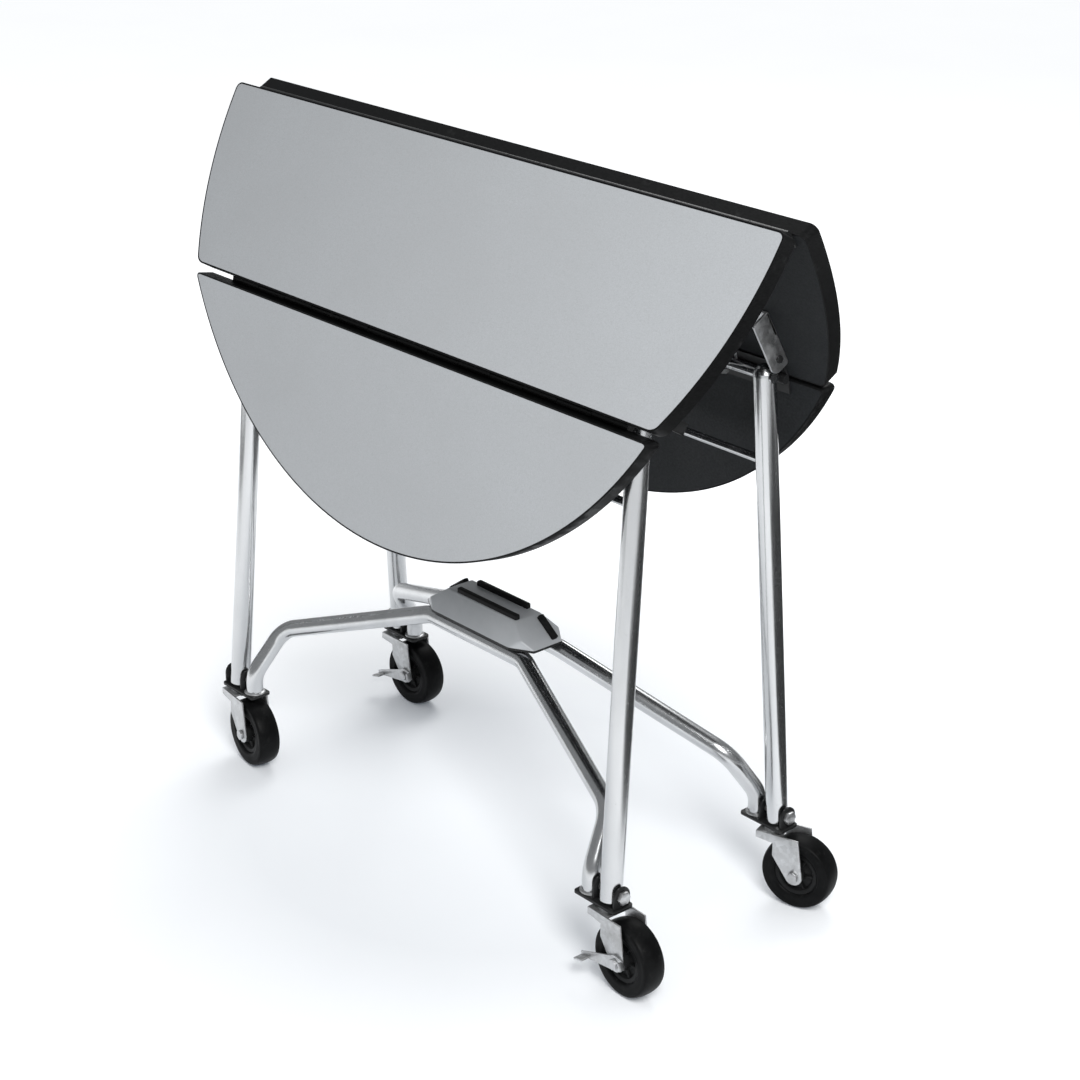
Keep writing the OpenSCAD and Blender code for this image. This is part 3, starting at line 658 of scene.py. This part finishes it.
for side in ("front", "back"):
    build_leaf("inner", side, LEAF_GAP / 2, INNER_W - LEAF_GAP / 2, inner_frame(side), f"{side}_inner_leaf")
    build_leaf("outer", side, INNER_W + LEAF_GAP / 2, TOP_R + EDGE_T,
               outer_frame(side) @ shift(0, INNER_W, 0), f"{side}_outer_leaf")

# ---------- hinge screws ----------

RIDGE_SCREWS = 18
OUTER_SCREWS = 14
SCREW_REACH = 12
SCREW_STAGGER = 2.2
HINGE_SCREW_R = 3.6
HINGE_SCREW_RISE = 1.1


def screw_row(length, count):
    """A staggered row of screw heads under a hinge wing that runs to -Y from its axis."""
    pitch = length / count
    parts = []
    for i in range(count):
        x = (i + 0.5) * pitch - length / 2
        y = -SCREW_REACH + (SCREW_STAGGER if i % 2 else -SCREW_STAGGER)
        head = screw_head(HINGE_SCREW_R, HINGE_SCREW_RISE)
        parts.append((head, shift(x, y, HINGE_DEPTH - WING_T) @ spun(180, "X")))
    return joined(*parts)


for side in ("front", "back"):
    add(f"ridge_screws_{side}", screw_row(RIDGE_LEN, RIDGE_SCREWS), inner_frame(side),
        f"{side}_inner_leaf", "black_steel")
    add(f"outer_hinge_inner_screws_{side}", screw_row(DROP_LEN, OUTER_SCREWS),
        inner_frame(side) @ shift(0, -INNER_W, 0) @ spun(180, "Z"), f"{side}_inner_leaf", "black_steel")
    add(f"outer_hinge_outer_screws_{side}", screw_row(DROP_LEN, OUTER_SCREWS), outer_frame(side),
        f"{side}_outer_leaf", "black_steel")

# ---------- leaf brackets ----------

# A bracket's side view is drawn with x from the ridge outwards and y down from the underside,
# and this stands it up in the leaf's frame.
UPRIGHT = spun(90, "Y") @ spun(-90, "Z")
WINDOW_PLAY = 1.6
WINDOW_TOP = ROD_DEPTH - WINDOW_RISE + WINDOW_PLAY
WINDOW_GAP = 0.7
WING_CLEAR = 1.5
WING_STEP = WING_T + WING_CLEAR
BRIDGE_END = REACH - WINDOW_LEN - LEG_R - BRACKET_T
EAR_ROUND = 3
# Screws through a bracket, as (in or out from the leg, distance from the ridge)
FLANGE_SCREW_X = -EAR_REACH - (FLANGE_W + BRACKET_T) / 2
BRACKET_SCREWS = (
    (FLANGE_SCREW_X, BRACKET_START + 12),
    (FLANGE_SCREW_X, BRACKET_END - 10),
    (-EAR_REACH + 14, BRACKET_START + 15),
    (-12, BRACKET_START + 15),
)
BRACKET_SCREW_R = 3.2
BRACKET_SCREW_RISE = 1.6
EAR_BOLT_R = 4.5
EAR_BOLT_H = 3
EAR_BOLT_Y = 190.5
EAR_BOLT_DEPTH = 10.2


def window_outline():
    """Rounded box that the rod travels in."""
    radius = ROD_R + WINDOW_GAP
    near, low = REACH - WINDOW_LEN, WINDOW_TOP + WINDOW_RISE
    outline = []
    corners = ((REACH, low, 0), (near, low, 90), (near, WINDOW_TOP, 180), (REACH, WINDOW_TOP, 270))
    for x, y, start in corners:
        for step in range(0, 91, 15):
            angle = math.radians(start + step)
            outline.append((x + radius * math.cos(angle), y + radius * math.sin(angle)))
    return outline


def inner_ear():
    low = WINDOW_TOP + WINDOW_RISE + ROD_R + EAR_WALL
    tip = REACH + ROD_R + WINDOW_GAP + EAR_WALL
    outline = [
        (BRACKET_START, 0), (BRACKET_END, 0), (BRACKET_END, WING_STEP), (tip, WING_STEP + EAR_WALL),
        (tip, low - EAR_CHAMFER), (tip - EAR_CHAMFER, low), (REACH - WINDOW_LEN - 2 * EAR_WALL, low),
        (BRACKET_START, BRACKET_T + EAR_CHAMFER),
    ]
    return plate(outline, BRACKET_T, [window_outline()], rim=0.5)


def outer_ear():
    outline = [
        (BRACKET_START, 0), (BRACKET_END, 0), (BRACKET_END, EAR_H - EAR_CHAMFER),
        (BRACKET_END - EAR_CHAMFER, EAR_H), (BRACKET_START, EAR_H),
    ]
    return plate(outline, BRACKET_T, round_by=EAR_ROUND, rim=0.7)


def build_brackets(side):
    """The folded sheet brackets round the leg tops, with their screws and bolts."""
    parts, screws, bolts = [], [], []
    for sign in (-1, 1):
        base = shift(sign * LEG_TOP_X, 0, HINGE_DEPTH) @ mirrored(sign)
        parts.append((inner_ear(), base @ shift(-EAR_REACH - BRACKET_T, 0, 0) @ UPRIGHT))
        parts.append((outer_ear(), base @ shift(EAR_IN, 0, 0) @ UPRIGHT))
        flange_y = -(BRACKET_START + BRACKET_END) / 2
        bridge_y = -(BRACKET_START + BRIDGE_END) / 2
        parts.append((
            block(FLANGE_W, BRACKET_END - BRACKET_START, BRACKET_T, 0.6),
            base @ shift(-EAR_REACH - FLANGE_W / 2, flange_y, -BRACKET_T)))
        parts.append((
            block(EAR_REACH + EAR_IN + 2 * BRACKET_T, BRIDGE_END - BRACKET_START, BRACKET_T, 0.6),
            base @ shift((EAR_IN - EAR_REACH) / 2, bridge_y, -BRACKET_T)))
        for x, y in BRACKET_SCREWS:
            head = screw_head(BRACKET_SCREW_R, BRACKET_SCREW_RISE)
            screws.append((head, base @ shift(x, -y, -BRACKET_T) @ spun(180, "X")))
        spot = base @ shift(EAR_IN + BRACKET_T, -EAR_BOLT_Y, -EAR_BOLT_DEPTH) @ spun(90, "Y")
        bolts.append((hex_head(EAR_BOLT_R, EAR_BOLT_H), spot))
    body = f"{side}_inner_leaf"
    place = inner_frame(side)
    add(f"bracket_plates_{side}", joined(*parts), place, body, "zinc_plate", [f"leaf_brackets_{side}"])
    add(f"bracket_screws_{side}", joined(*screws), place, body, "zinc_plate")
    add(f"bracket_bolts_{side}", joined(*bolts), place, body, "black_steel")


for side in ("front", "back"):
    build_brackets(side)

# ---------- base tubes ----------

# Degrees of a bend to one ring of its tube
BEND_STEP = 5


def half_route(sign):
    return [
        Vector((sign * (FOOT_X - STUB_IN), -FOOT_Y, FOOT_PLATE_Z + FOOT_PLATE_T)),
        Vector((sign * (FOOT_X - STUB_IN), -FOOT_Y, FOOT_PLATE_Z + FOOT_PLATE_T + STUB_H)),
        Vector((sign * ELBOW[0], -ELBOW[1], ELBOW[2])),
        Vector((sign * MIDDLE[0], -MIDDLE[1], MIDDLE[2])),
    ]


def bent_tube(route, radius, bend_radius, sides=40):
    """Round bar along a route of corners, carried forward ring by ring."""
    shape = bmesh.new()
    heading = (route[1] - route[0]).normalized()
    start = Matrix.Translation(route[0]) @ heading.to_track_quat("Z", "Y").to_matrix().to_4x4()
    bmesh.ops.create_circle(shape, cap_ends=True, radius=radius, segments=sides, matrix=start)
    ring = shape.edges[:]
    here = route[0]
    for i in range(1, len(route)):
        heading = (route[i] - route[i - 1]).normalized()
        last = i == len(route) - 1
        follow = heading if last else (route[i + 1] - route[i]).normalized()
        bend = heading.angle(follow) if not last else 0
        there = route[i] - heading * bend_radius * math.tan(bend / 2)
        made = bmesh.ops.extrude_edge_only(shape, edges=ring)["geom"]
        ring = [e for e in made if isinstance(e, bmesh.types.BMEdge)]
        dots = [v for v in made if isinstance(v, bmesh.types.BMVert)]
        ring = [e for e in ring if all(v in dots for v in e.verts)]
        bmesh.ops.translate(shape, verts=dots, vec=there - here)
        if last:
            bmesh.ops.contextual_create(shape, geom=ring)
            break
        toward = (follow - heading * heading.dot(follow)).normalized()
        steps = max(4, round(math.degrees(bend) / BEND_STEP))
        made = bmesh.ops.spin(
            shape, geom=dots + ring, cent=there + toward * bend_radius, axis=heading.cross(follow),
            angle=bend, steps=steps, use_merge=False,
        )["geom_last"]
        ring = [e for e in made if isinstance(e, bmesh.types.BMEdge)]
        here = route[i] + follow * bend_radius * math.tan(bend / 2)
    return shape


for side in ("front", "back"):
    route = half_route(1) + half_route(-1)[::-1]
    add(f"base_bend_tube_{side}", bent_tube(route, TUBE_R, BEND_R), half(side), "base", "chrome_tube",
        [f"base_tube_{side}"], smooth=60)

# ---------- centre box ----------

BOX_ROUND = 2.2
BOX_PLATE_T = 3
BOX_BOLT_X = 55
BOX_BOLT_R = 6
BOX_BOLT_H = 4
BOX_WASHER_R = 9


def box_cover():
    """Four-sided hip shape, cut from a block whose plan narrows at the ends."""
    shape = bmesh.new()
    end_x, side_x, side_y, end_y = BOX_LEN / 2, BOX_SIDE / 2, BOX_W / 2, BOX_END_W / 2
    loop(shape, [
        (-end_x, -end_y), (-side_x, -side_y), (side_x, -side_y), (end_x, -end_y),
        (end_x, end_y), (side_x, side_y), (-side_x, side_y), (-end_x, end_y),
    ])
    bmesh.ops.contextual_create(shape, geom=shape.edges[:])
    thicken(shape, BOX_H)
    for low, high, axis in ((BOX_W / 2, BOX_TOP_W / 2, 1), (BOX_LEN / 2, BOX_TOP_LEN / 2, 0)):
        for sign in (-1, 1):
            point, normal = Vector((0, 0, 0)), Vector((0, 0, low - high))
            point[axis] = sign * low
            normal[axis] = sign * BOX_H
            bmesh.ops.bisect_plane(
                shape, geom=shape.verts[:] + shape.edges[:] + shape.faces[:], dist=0.001,
                plane_co=point, plane_no=normal, clear_outer=True,
            )
            rim = [e for e in shape.edges if e.is_boundary]
            if rim:
                bmesh.ops.holes_fill(shape, edges=rim, sides=0)
    bmesh.ops.remove_doubles(shape, verts=shape.verts, dist=0.01)
    bmesh.ops.dissolve_limit(shape, angle_limit=0.01, verts=shape.verts[:], edges=shape.edges[:])
    bmesh.ops.recalc_face_normals(shape, faces=shape.faces)
    soften(shape, BOX_ROUND, 4, angle=15, only=lambda e: max(v.co.z for v in e.verts) > 1)
    return shape


def rubber_strip(length, width, height):
    """Rubber strip with a softened top."""
    shape = block(length, width, height)
    ease = min(width, height) * 0.28
    soften(shape, ease, 4, angle=60, only=lambda e: max(v.co.z for v in e.verts) > height / 2)
    return shape


def build_box():
    level = shift(0, 0, BOX_Z)
    add("box_shell", box_cover(), level, "base", "box_paint", ["box_cover"], smooth=30)
    run = (BOX_LEN - BOX_TOP_LEN) / 2
    slope = math.degrees(math.atan(BOX_H / run))
    parts = [
        (rubber_strip(REST_LEN, REST_W, REST_T), shift(0, (BOX_TOP_W - REST_W) / 2, BOX_H)),
        (rubber_strip(REST_LEN + REST_MORE, REST_W, REST_T),
         shift(REST_MORE / 2, (REST_W - BOX_TOP_W) / 2, BOX_H)),
    ]
    on_slope = shift((BOX_LEN - run) / 2, PAD_Y, BOX_H / 2) @ spun(slope, "Y")
    for sign in (-1, 1):
        parts.append((rubber_strip(PAD_LEN, PAD_W, PAD_T), mirrored(sign) @ on_slope))
    add("box_rubber", joined(*parts), level, "base", "rubber_rest", ["box_rests"], smooth=40)
    bolts = [
        (hex_head(BOX_BOLT_R, BOX_BOLT_H, BOX_WASHER_R), shift(x, 0, BOX_Z - BOX_PLATE_T) @ spun(180, "X"))
        for x in (-BOX_BOLT_X, BOX_BOLT_X)
    ]
    add("box_plate_bolts", joined(*bolts), Matrix(), "base", "zinc_plate")


build_box()

# ---------- foot brackets ----------

PLATE_LIP = 3
PLATE_CORNER = 4
WELD_IN = 3
WELD_OUT = 2.6
FOOT_BOLT_HALF = 18
# Bolt heads: their radius as a share of the bolt's, and their height
HEAD_SHARE = 1.7
FOOT_HEAD_H = 5
AXLE_HEAD_H = 4


def foot_ear():
    """Side view of an ear, y up from the plate, stood up across the leg."""
    top = FOOT_Z - FOOT_PLATE_Z
    arc = [
        (FOOT_EAR_R * math.cos(math.radians(a)), top + FOOT_EAR_R * math.sin(math.radians(a)))
        for a in range(0, 181, 12)
    ]
    return plate([(-FOOT_EAR_R, 0), (FOOT_EAR_R, 0)] + arc, FOOT_EAR_T, rim=0.7)


def build_foot(corner):
    x, y = foot_place(corner)
    base = shift(x, y, 0) @ mirrored(1 if x > 0 else -1)
    inner = STUB_IN + TUBE_R + PLATE_LIP
    outer = FOOT_EAR_IN + FOOT_EAR_T + PLATE_LIP
    across = spun(90, "Z") @ spun(90, "X")
    flat = plate(
        [(-inner, -FOOT_HALF_W), (outer, -FOOT_HALF_W), (outer, FOOT_HALF_W), (-inner, FOOT_HALF_W)],
        FOOT_PLATE_T, round_by=PLATE_CORNER, rim=0.8)
    collar = turned([
        (TUBE_R - WELD_IN, 0), (TUBE_R + WELD_OUT, 0), (TUBE_R + 2.2, 1.2), (TUBE_R, WELD_OUT),
        (TUBE_R - WELD_IN, WELD_OUT),
    ], steps=40, closed=True)
    parts = [(flat, base @ shift(0, 0, FOOT_PLATE_Z))]
    for left in (-FOOT_EAR_IN - FOOT_EAR_T, FOOT_EAR_IN):
        parts.append((foot_ear(), base @ shift(left, 0, FOOT_PLATE_Z) @ across))
    weld = [(collar, base @ shift(-STUB_IN, 0, FOOT_PLATE_Z + FOOT_PLATE_T))]
    shank = [(0, -FOOT_BOLT_HALF), (BOLT_R, -FOOT_BOLT_HALF), (BOLT_R, FOOT_BOLT_HALF), (0, FOOT_BOLT_HALF)]
    bolt = [
        (turned(shank, steps=32), base @ shift(0, 0, FOOT_Z) @ spun(90, "Y")),
        (hex_head(HEAD_SHARE * BOLT_R, FOOT_HEAD_H),
         base @ shift(FOOT_EAR_IN + FOOT_EAR_T, 0, FOOT_Z) @ spun(90, "Y")),
    ]
    return parts, weld, bolt


def build_feet():
    bolts, welds = [], []
    for side in ("front", "back"):
        parts = []
        for hand in ("left", "right"):
            part, weld, bolt = build_foot(f"{side}_{hand}")
            parts += part
            welds += weld
            bolts += bolt
        add(f"foot_channels_{side}", joined(*parts), Matrix(), "base", "black_steel",
            [f"foot_brackets_{side}"])
    add("foot_bolts", joined(*bolts), Matrix(), "base", "zinc_plate", ["foot_pivot_bolts"])
    add("tube_end_welds", joined(*welds), Matrix(), "base", "zinc_plate")


build_feet()

# ---------- casters ----------

RUN_GAP = 0.05
CHEEK_BACK = 4
CHEEK_FRONT = 5
CHEEK_BAND = 9
CROWN_RISE = 4
TREAD_FLAT = 0.98
WEB_INSET = 3
WEB_DISH = 4.5
HUB_BOSS_R = 11
BOSS_PLAY = 0.5
WHEEL_RIBS = 6
# A wheel rib's length, width and height, its middle's radius, and how far it starts under the rim step
RIB_SIZE = (9.5, 2.4, 3.4)
RIB_AT = 15.7
RIB_DEPTH = 4.6
LEVER_BOSS_R = 10
LEVER_TAIL = 14
LEVER_TIP_W = 6
PIN_NUT_H = 5
PIN_NUT_R = 8


def cheek_outline():
    """Side view of a fork's cheek: x trails behind the swivel axis, y is up from the floor."""
    boss = [
        (TRAIL + BOSS_R * math.cos(math.radians(a)), WHEEL_R + BOSS_R * math.sin(math.radians(a)))
        for a in range(0, -136, -15)
    ]
    band = CROWN_TOP - CHEEK_BAND
    return [(-CROWN_FRONT, CROWN_TOP), (TRAIL + CHEEK_BACK, CROWN_TOP)] + boss + [
        (CHEEK_FRONT, CROWN_TOP - CHEEK_DROP), (CHEEK_FRONT, band - FORK_T), (-CROWN_FRONT, band)]


def fork():
    """Pressed fork: two cheeks that hang from a crown."""
    parts = []
    hole = circle(TRAIL, WHEEL_R, AXLE_R + RUN_GAP, 20)
    for y in (FORK_IN + FORK_T, -FORK_IN):
        parts.append((plate(cheek_outline(), FORK_T, [hole], rim=0.9), shift(0, y, 0) @ spun(90, "X")))
    wide = FORK_IN + 0.2
    crown = plate(
        [(-CROWN_FRONT, -wide), (CROWN_END, -wide), (CROWN_END, wide), (-CROWN_FRONT, wide)],
        FORK_T, [circle(0, 0, KINGPIN_R + RUN_GAP, 20)], rim=0.6)
    parts.append((crown, shift(0, 0, CROWN_Z)))
    return joined(*parts)


def axle(braked):
    """Bolt through fork and wheel, long enough for a lever where there is a brake, with its two heads."""
    front = FORK_IN + FORK_T + (LEVER_T + 2 * RUN_GAP if braked else 0)
    back = FORK_IN + FORK_T
    return joined(
        (turned([(0, -back), (AXLE_R, -back), (AXLE_R, front), (0, front)], steps=28), Matrix()),
        (hex_head(HEAD_SHARE * AXLE_R, AXLE_HEAD_H), shift(0, 0, front)),
        (hex_head(HEAD_SHARE * AXLE_R, AXLE_HEAD_H), shift(0, 0, -back) @ spun(180, "X")),
    )


def tyre():
    """Solid tyre: softly crowned tread, and in each wall a bead by the web and a groove round it."""
    half_w = TYRE_W / 2
    tread = [
        (WHEEL_R - CROWN_RISE * (1 - math.sqrt(1 - TREAD_FLAT * t * t)), t * half_w)
        for t in [math.sin(math.radians(a)) for a in range(-90, 91, 9)]
    ]
    wall = [
        (HUB_R, WEB_INSET - half_w), (HUB_R + 2, 0.8 - half_w), (HUB_R + 5, -half_w),
        (HUB_R + 8, 0.5 - half_w), (HUB_R + 11, -half_w + 0.1),
    ]
    return turned(wall + tread + [(r, -h) for r, h in wall[::-1]], steps=96, closed=True)


def wheel_centre():
    """Dished web with a rim step, a boss and six ribs on each side."""
    half_w = TYRE_W / 2 - WEB_INSET
    boss = FORK_IN - BOSS_PLAY
    dish = half_w - WEB_DISH
    side = [
        (AXLE_R + RUN_GAP, boss), (HUB_BOSS_R - 2, boss), (HUB_BOSS_R, boss - 1.5), (HUB_BOSS_R, dish + 1),
        (HUB_BOSS_R + 2, dish), (HUB_R - 7, dish), (HUB_R - 4.5, half_w - 0.6), (HUB_R - 3, half_w),
        (HUB_R, half_w),
    ]
    body = turned(side + [(r, -h) for r, h in side[::-1]], steps=72, closed=True)
    parts = [(body, Matrix())]
    for face in (1, -1):
        flip = spun(0 if face > 0 else 180, "X")
        for i in range(WHEEL_RIBS):
            rib = block(*RIB_SIZE, rim=0.7)
            turn = spun(360 / WHEEL_RIBS * i, "Z")
            parts.append((rib, flip @ turn @ shift(RIB_AT, 0, half_w - RIB_DEPTH)))
    return joined(*parts)


def brake_lever():
    """Flat lever with its pedal and its tab bent up, drawn from the axle with the pedal to +X."""
    def boss(angles):
        return [
            (LEVER_BOSS_R * math.cos(math.radians(a)), LEVER_BOSS_R * math.sin(math.radians(a)))
            for a in angles
        ]

    tip = LEVER_TIP_W / 2
    outline = [(-LEVER_TAIL, -LEVER_BOSS_R / 2), (-7, -8)] + boss(range(-115, -59, 11))
    outline += [(LEVER_LEN, -tip), (LEVER_LEN, tip)]
    outline += boss(range(60, 116, 11)) + [(-7, 8), (-LEVER_TAIL, LEVER_BOSS_R / 2)]
    return joined(
        (plate(outline, LEVER_T, [circle(0, 0, AXLE_R + RUN_GAP, 20)], rim=0.6), Matrix()),
        (block(PEDAL_LEN, LEVER_T, PEDAL_W, 0.7), shift(LEVER_LEN - PEDAL_LEN / 2, LEVER_T / 2 - tip, 0)),
        (block(LEVER_T, LEVER_BOSS_R, 8, 0.7), shift(LEVER_T / 2 - LEVER_TAIL, 0, 0)),
    )


def race():
    """Swivel race, a lower cup and an upper cap with a groove between, and the kingpin with its nut."""
    low, high = CROWN_TOP + RUN_GAP, FOOT_PLATE_Z
    mid = (low + high) / 2
    foot, top = CROWN_Z - PIN_NUT_H, FOOT_PLATE_Z + FOOT_PLATE_T
    rings = turned([
        (0, low), (RACE_R - 0.6, low), (RACE_R, low + 0.6), (RACE_R, mid - 0.5), (RACE_R - 1.6, mid),
        (RACE_R, mid + 0.5), (RACE_R, high - 0.5), (RACE_R - 0.6, high), (0, high),
    ], steps=48)
    pin = turned([(0, foot), (KINGPIN_R, foot), (KINGPIN_R, low), (0, low)], steps=32)
    head = turned([
        (0, high), (KINGPIN_R, high), (KINGPIN_R, top - 0.4), (KINGPIN_R - 1, top), (0, top),
    ], steps=32)
    nut = hex_head(PIN_NUT_R, PIN_NUT_H - 0.1)
    return joined((rings, Matrix()), (pin, Matrix()), (head, Matrix()), (nut, shift(0, 0, foot)))


def build_caster(corner):
    place = caster_frame(corner)
    hub_place = place @ shift(TRAIL, 0, WHEEL_R) @ spun(90, "X")
    caster, wheel = f"caster_{corner}", f"wheel_{corner}"
    add(f"pressed_fork_{corner}", fork(), place, caster, "zinc_plate", [f"fork_{corner}"])
    add(f"axle_bolt_{corner}", axle(corner in BRAKED), hub_place, caster, "zinc_plate", [f"axle_{corner}"])
    add(f"wheel_centre_{corner}", wheel_centre(), hub_place, wheel, "wheel_core", [f"hub_{corner}"])
    add(f"solid_tyre_{corner}", tyre(), hub_place, wheel, "tyre_rubber", [f"tyre_{corner}"], smooth=50)
    if corner in BRAKED:
        lever_place = (
            place @ shift(TRAIL, 0, WHEEL_R) @ mirrored(-1) @ spun(90, "X")
            @ spun(-LEVER_TILT, "Z") @ shift(0, 0, FORK_IN + FORK_T + RUN_GAP))
        add(f"lever_{corner}", brake_lever(), lever_place, f"brake_{corner}", "zinc_plate",
            [f"brake_lever_{corner}"])


for corner in TURNS:
    build_caster(corner)
races = joined(*((race(), shift(*foot_place(corner), 0)) for corner in TURNS))
add("swivel_races", races, Matrix(), "base", "zinc_plate", ["caster_kingpins"])

# ---------- studio ----------


def lay_floor():
    """White paper with painted light: it glows a little away from the table and hardly at all near it, so
    that the table's surroundings darken as a painted shadow.
    """
    sheet = bmesh.new()
    bmesh.ops.create_grid(sheet, x_segments=1, y_segments=1, size=12)
    mesh = bpy.data.meshes.new("floor")
    sheet.to_mesh(mesh)
    sheet.free()
    floor = bpy.data.objects.new("floor", mesh)
    bpy.context.scene.collection.objects.link(floor)
    paper = Finish("white floor with painted shadow", Roughness=0.9, Specular_IOR_Level=0.1, Emission_Strength=0.5)
    fleck = paper.fit(paper.noise(3, detail=2), 0.3, 0.7)
    paper.paint(paper.blend(fleck, grey(0.88, -0.012), grey(0.9, -0.012)))
    reach = paper.node("ShaderNodeVectorMath", {"operation": "LENGTH"}, {0: paper.where()}, out="Value")
    # Painted shadow: the floor's glow is dim blue within 0.3 m of the table's middle and turns white by
    # 0.95 m.
    painted_shadow_glow = paper.blend(paper.fit(reach, 0.3, 0.95), (0.03, 0.05, 0.08, 1), (1, 1, 1, 1))
    paper.set(paper.shader.inputs["Emission Color"], painted_shadow_glow)
    mesh.materials.append(paper.material)


def light(name, place, aim, size, power, spread=180):
    lamp = bpy.data.lights.new(name, "AREA")
    lamp.shape = "RECTANGLE"
    lamp.size, lamp.size_y = size
    lamp.energy = power
    lamp.spread = math.radians(spread)
    holder = bpy.data.objects.new(name, lamp)
    bpy.context.scene.collection.objects.link(holder)
    holder.location = place
    holder.rotation_euler = (Vector(aim) - Vector(place)).to_track_quat("-Z", "Y").to_euler()


def reflection_card(name, centre, size, turn, tone):
    """A card that lies on the floor and shows in reflections only, to model the plated tubes."""
    sheet = bmesh.new()
    bmesh.ops.create_grid(sheet, x_segments=1, y_segments=1, size=0.5)
    place = shift(*centre, 0.0015) @ spun(turn, "Z") @ Matrix.Diagonal((*size, 1, 1))
    sheet.transform(place)
    mesh = bpy.data.meshes.new(name)
    sheet.to_mesh(mesh)
    sheet.free()
    card = bpy.data.objects.new(name, mesh)
    bpy.context.scene.collection.objects.link(card)
    felt = Finish(name, Roughness=0.9, Specular_IOR_Level=0)
    felt.paint(felt.blend(felt.noise(5), grey(tone, 0), grey(1.2 * tone, 0)))
    mesh.materials.append(felt.material)
    card.visible_camera = False
    card.visible_diffuse = False
    card.visible_shadow = False
    card.visible_transmission = False


def set_studio():
    """Soft white surroundings, dimmer in reflections, with a light from behind and one from the right."""
    world = bpy.data.worlds.new("studio")
    world.use_nodes = True
    tree = world.node_tree
    backdrop = tree.nodes["Background"]
    backdrop.inputs["Color"].default_value = (0.96, 0.98, 1.0, 1)
    backdrop.inputs["Strength"].default_value = 0.55
    dim = tree.nodes.new("ShaderNodeBackground")
    dim.inputs["Color"].default_value = (0.95, 0.975, 1.0, 1)
    dim.inputs["Strength"].default_value = 0.3
    path = tree.nodes.new("ShaderNodeLightPath")
    choose = tree.nodes.new("ShaderNodeMixShader")
    tree.links.new(path.outputs["Is Glossy Ray"], choose.inputs[0])
    tree.links.new(backdrop.outputs[0], choose.inputs[1])
    tree.links.new(dim.outputs[0], choose.inputs[2])
    tree.links.new(choose.outputs[0], tree.nodes["World Output"].inputs["Surface"])
    scene = bpy.context.scene
    scene.world = world
    scene.view_settings.view_transform = "Standard"
    light("back left overhead", (-1.2, 1.8, 2.6), (0.1, 0, 0.2), (1.6, 1.6), 32)
    light("front right", (2.0, -1.1, 2.3), (0.4, -0.1, 0.65), (1.0, 1.2), 13, spread=75)
    reflection_card("dark card right", (1.15, 0.95), (1.9, 2.6), 48, 0.05)
    reflection_card("dark card left", (-1.25, -1.3), (0.45, 2.4), 48, 0.1)
    reflection_card("dark card behind", (-1.5, 1.4), (2.2, 0.8), 48, 0.12)


lay_floor()
set_studio()
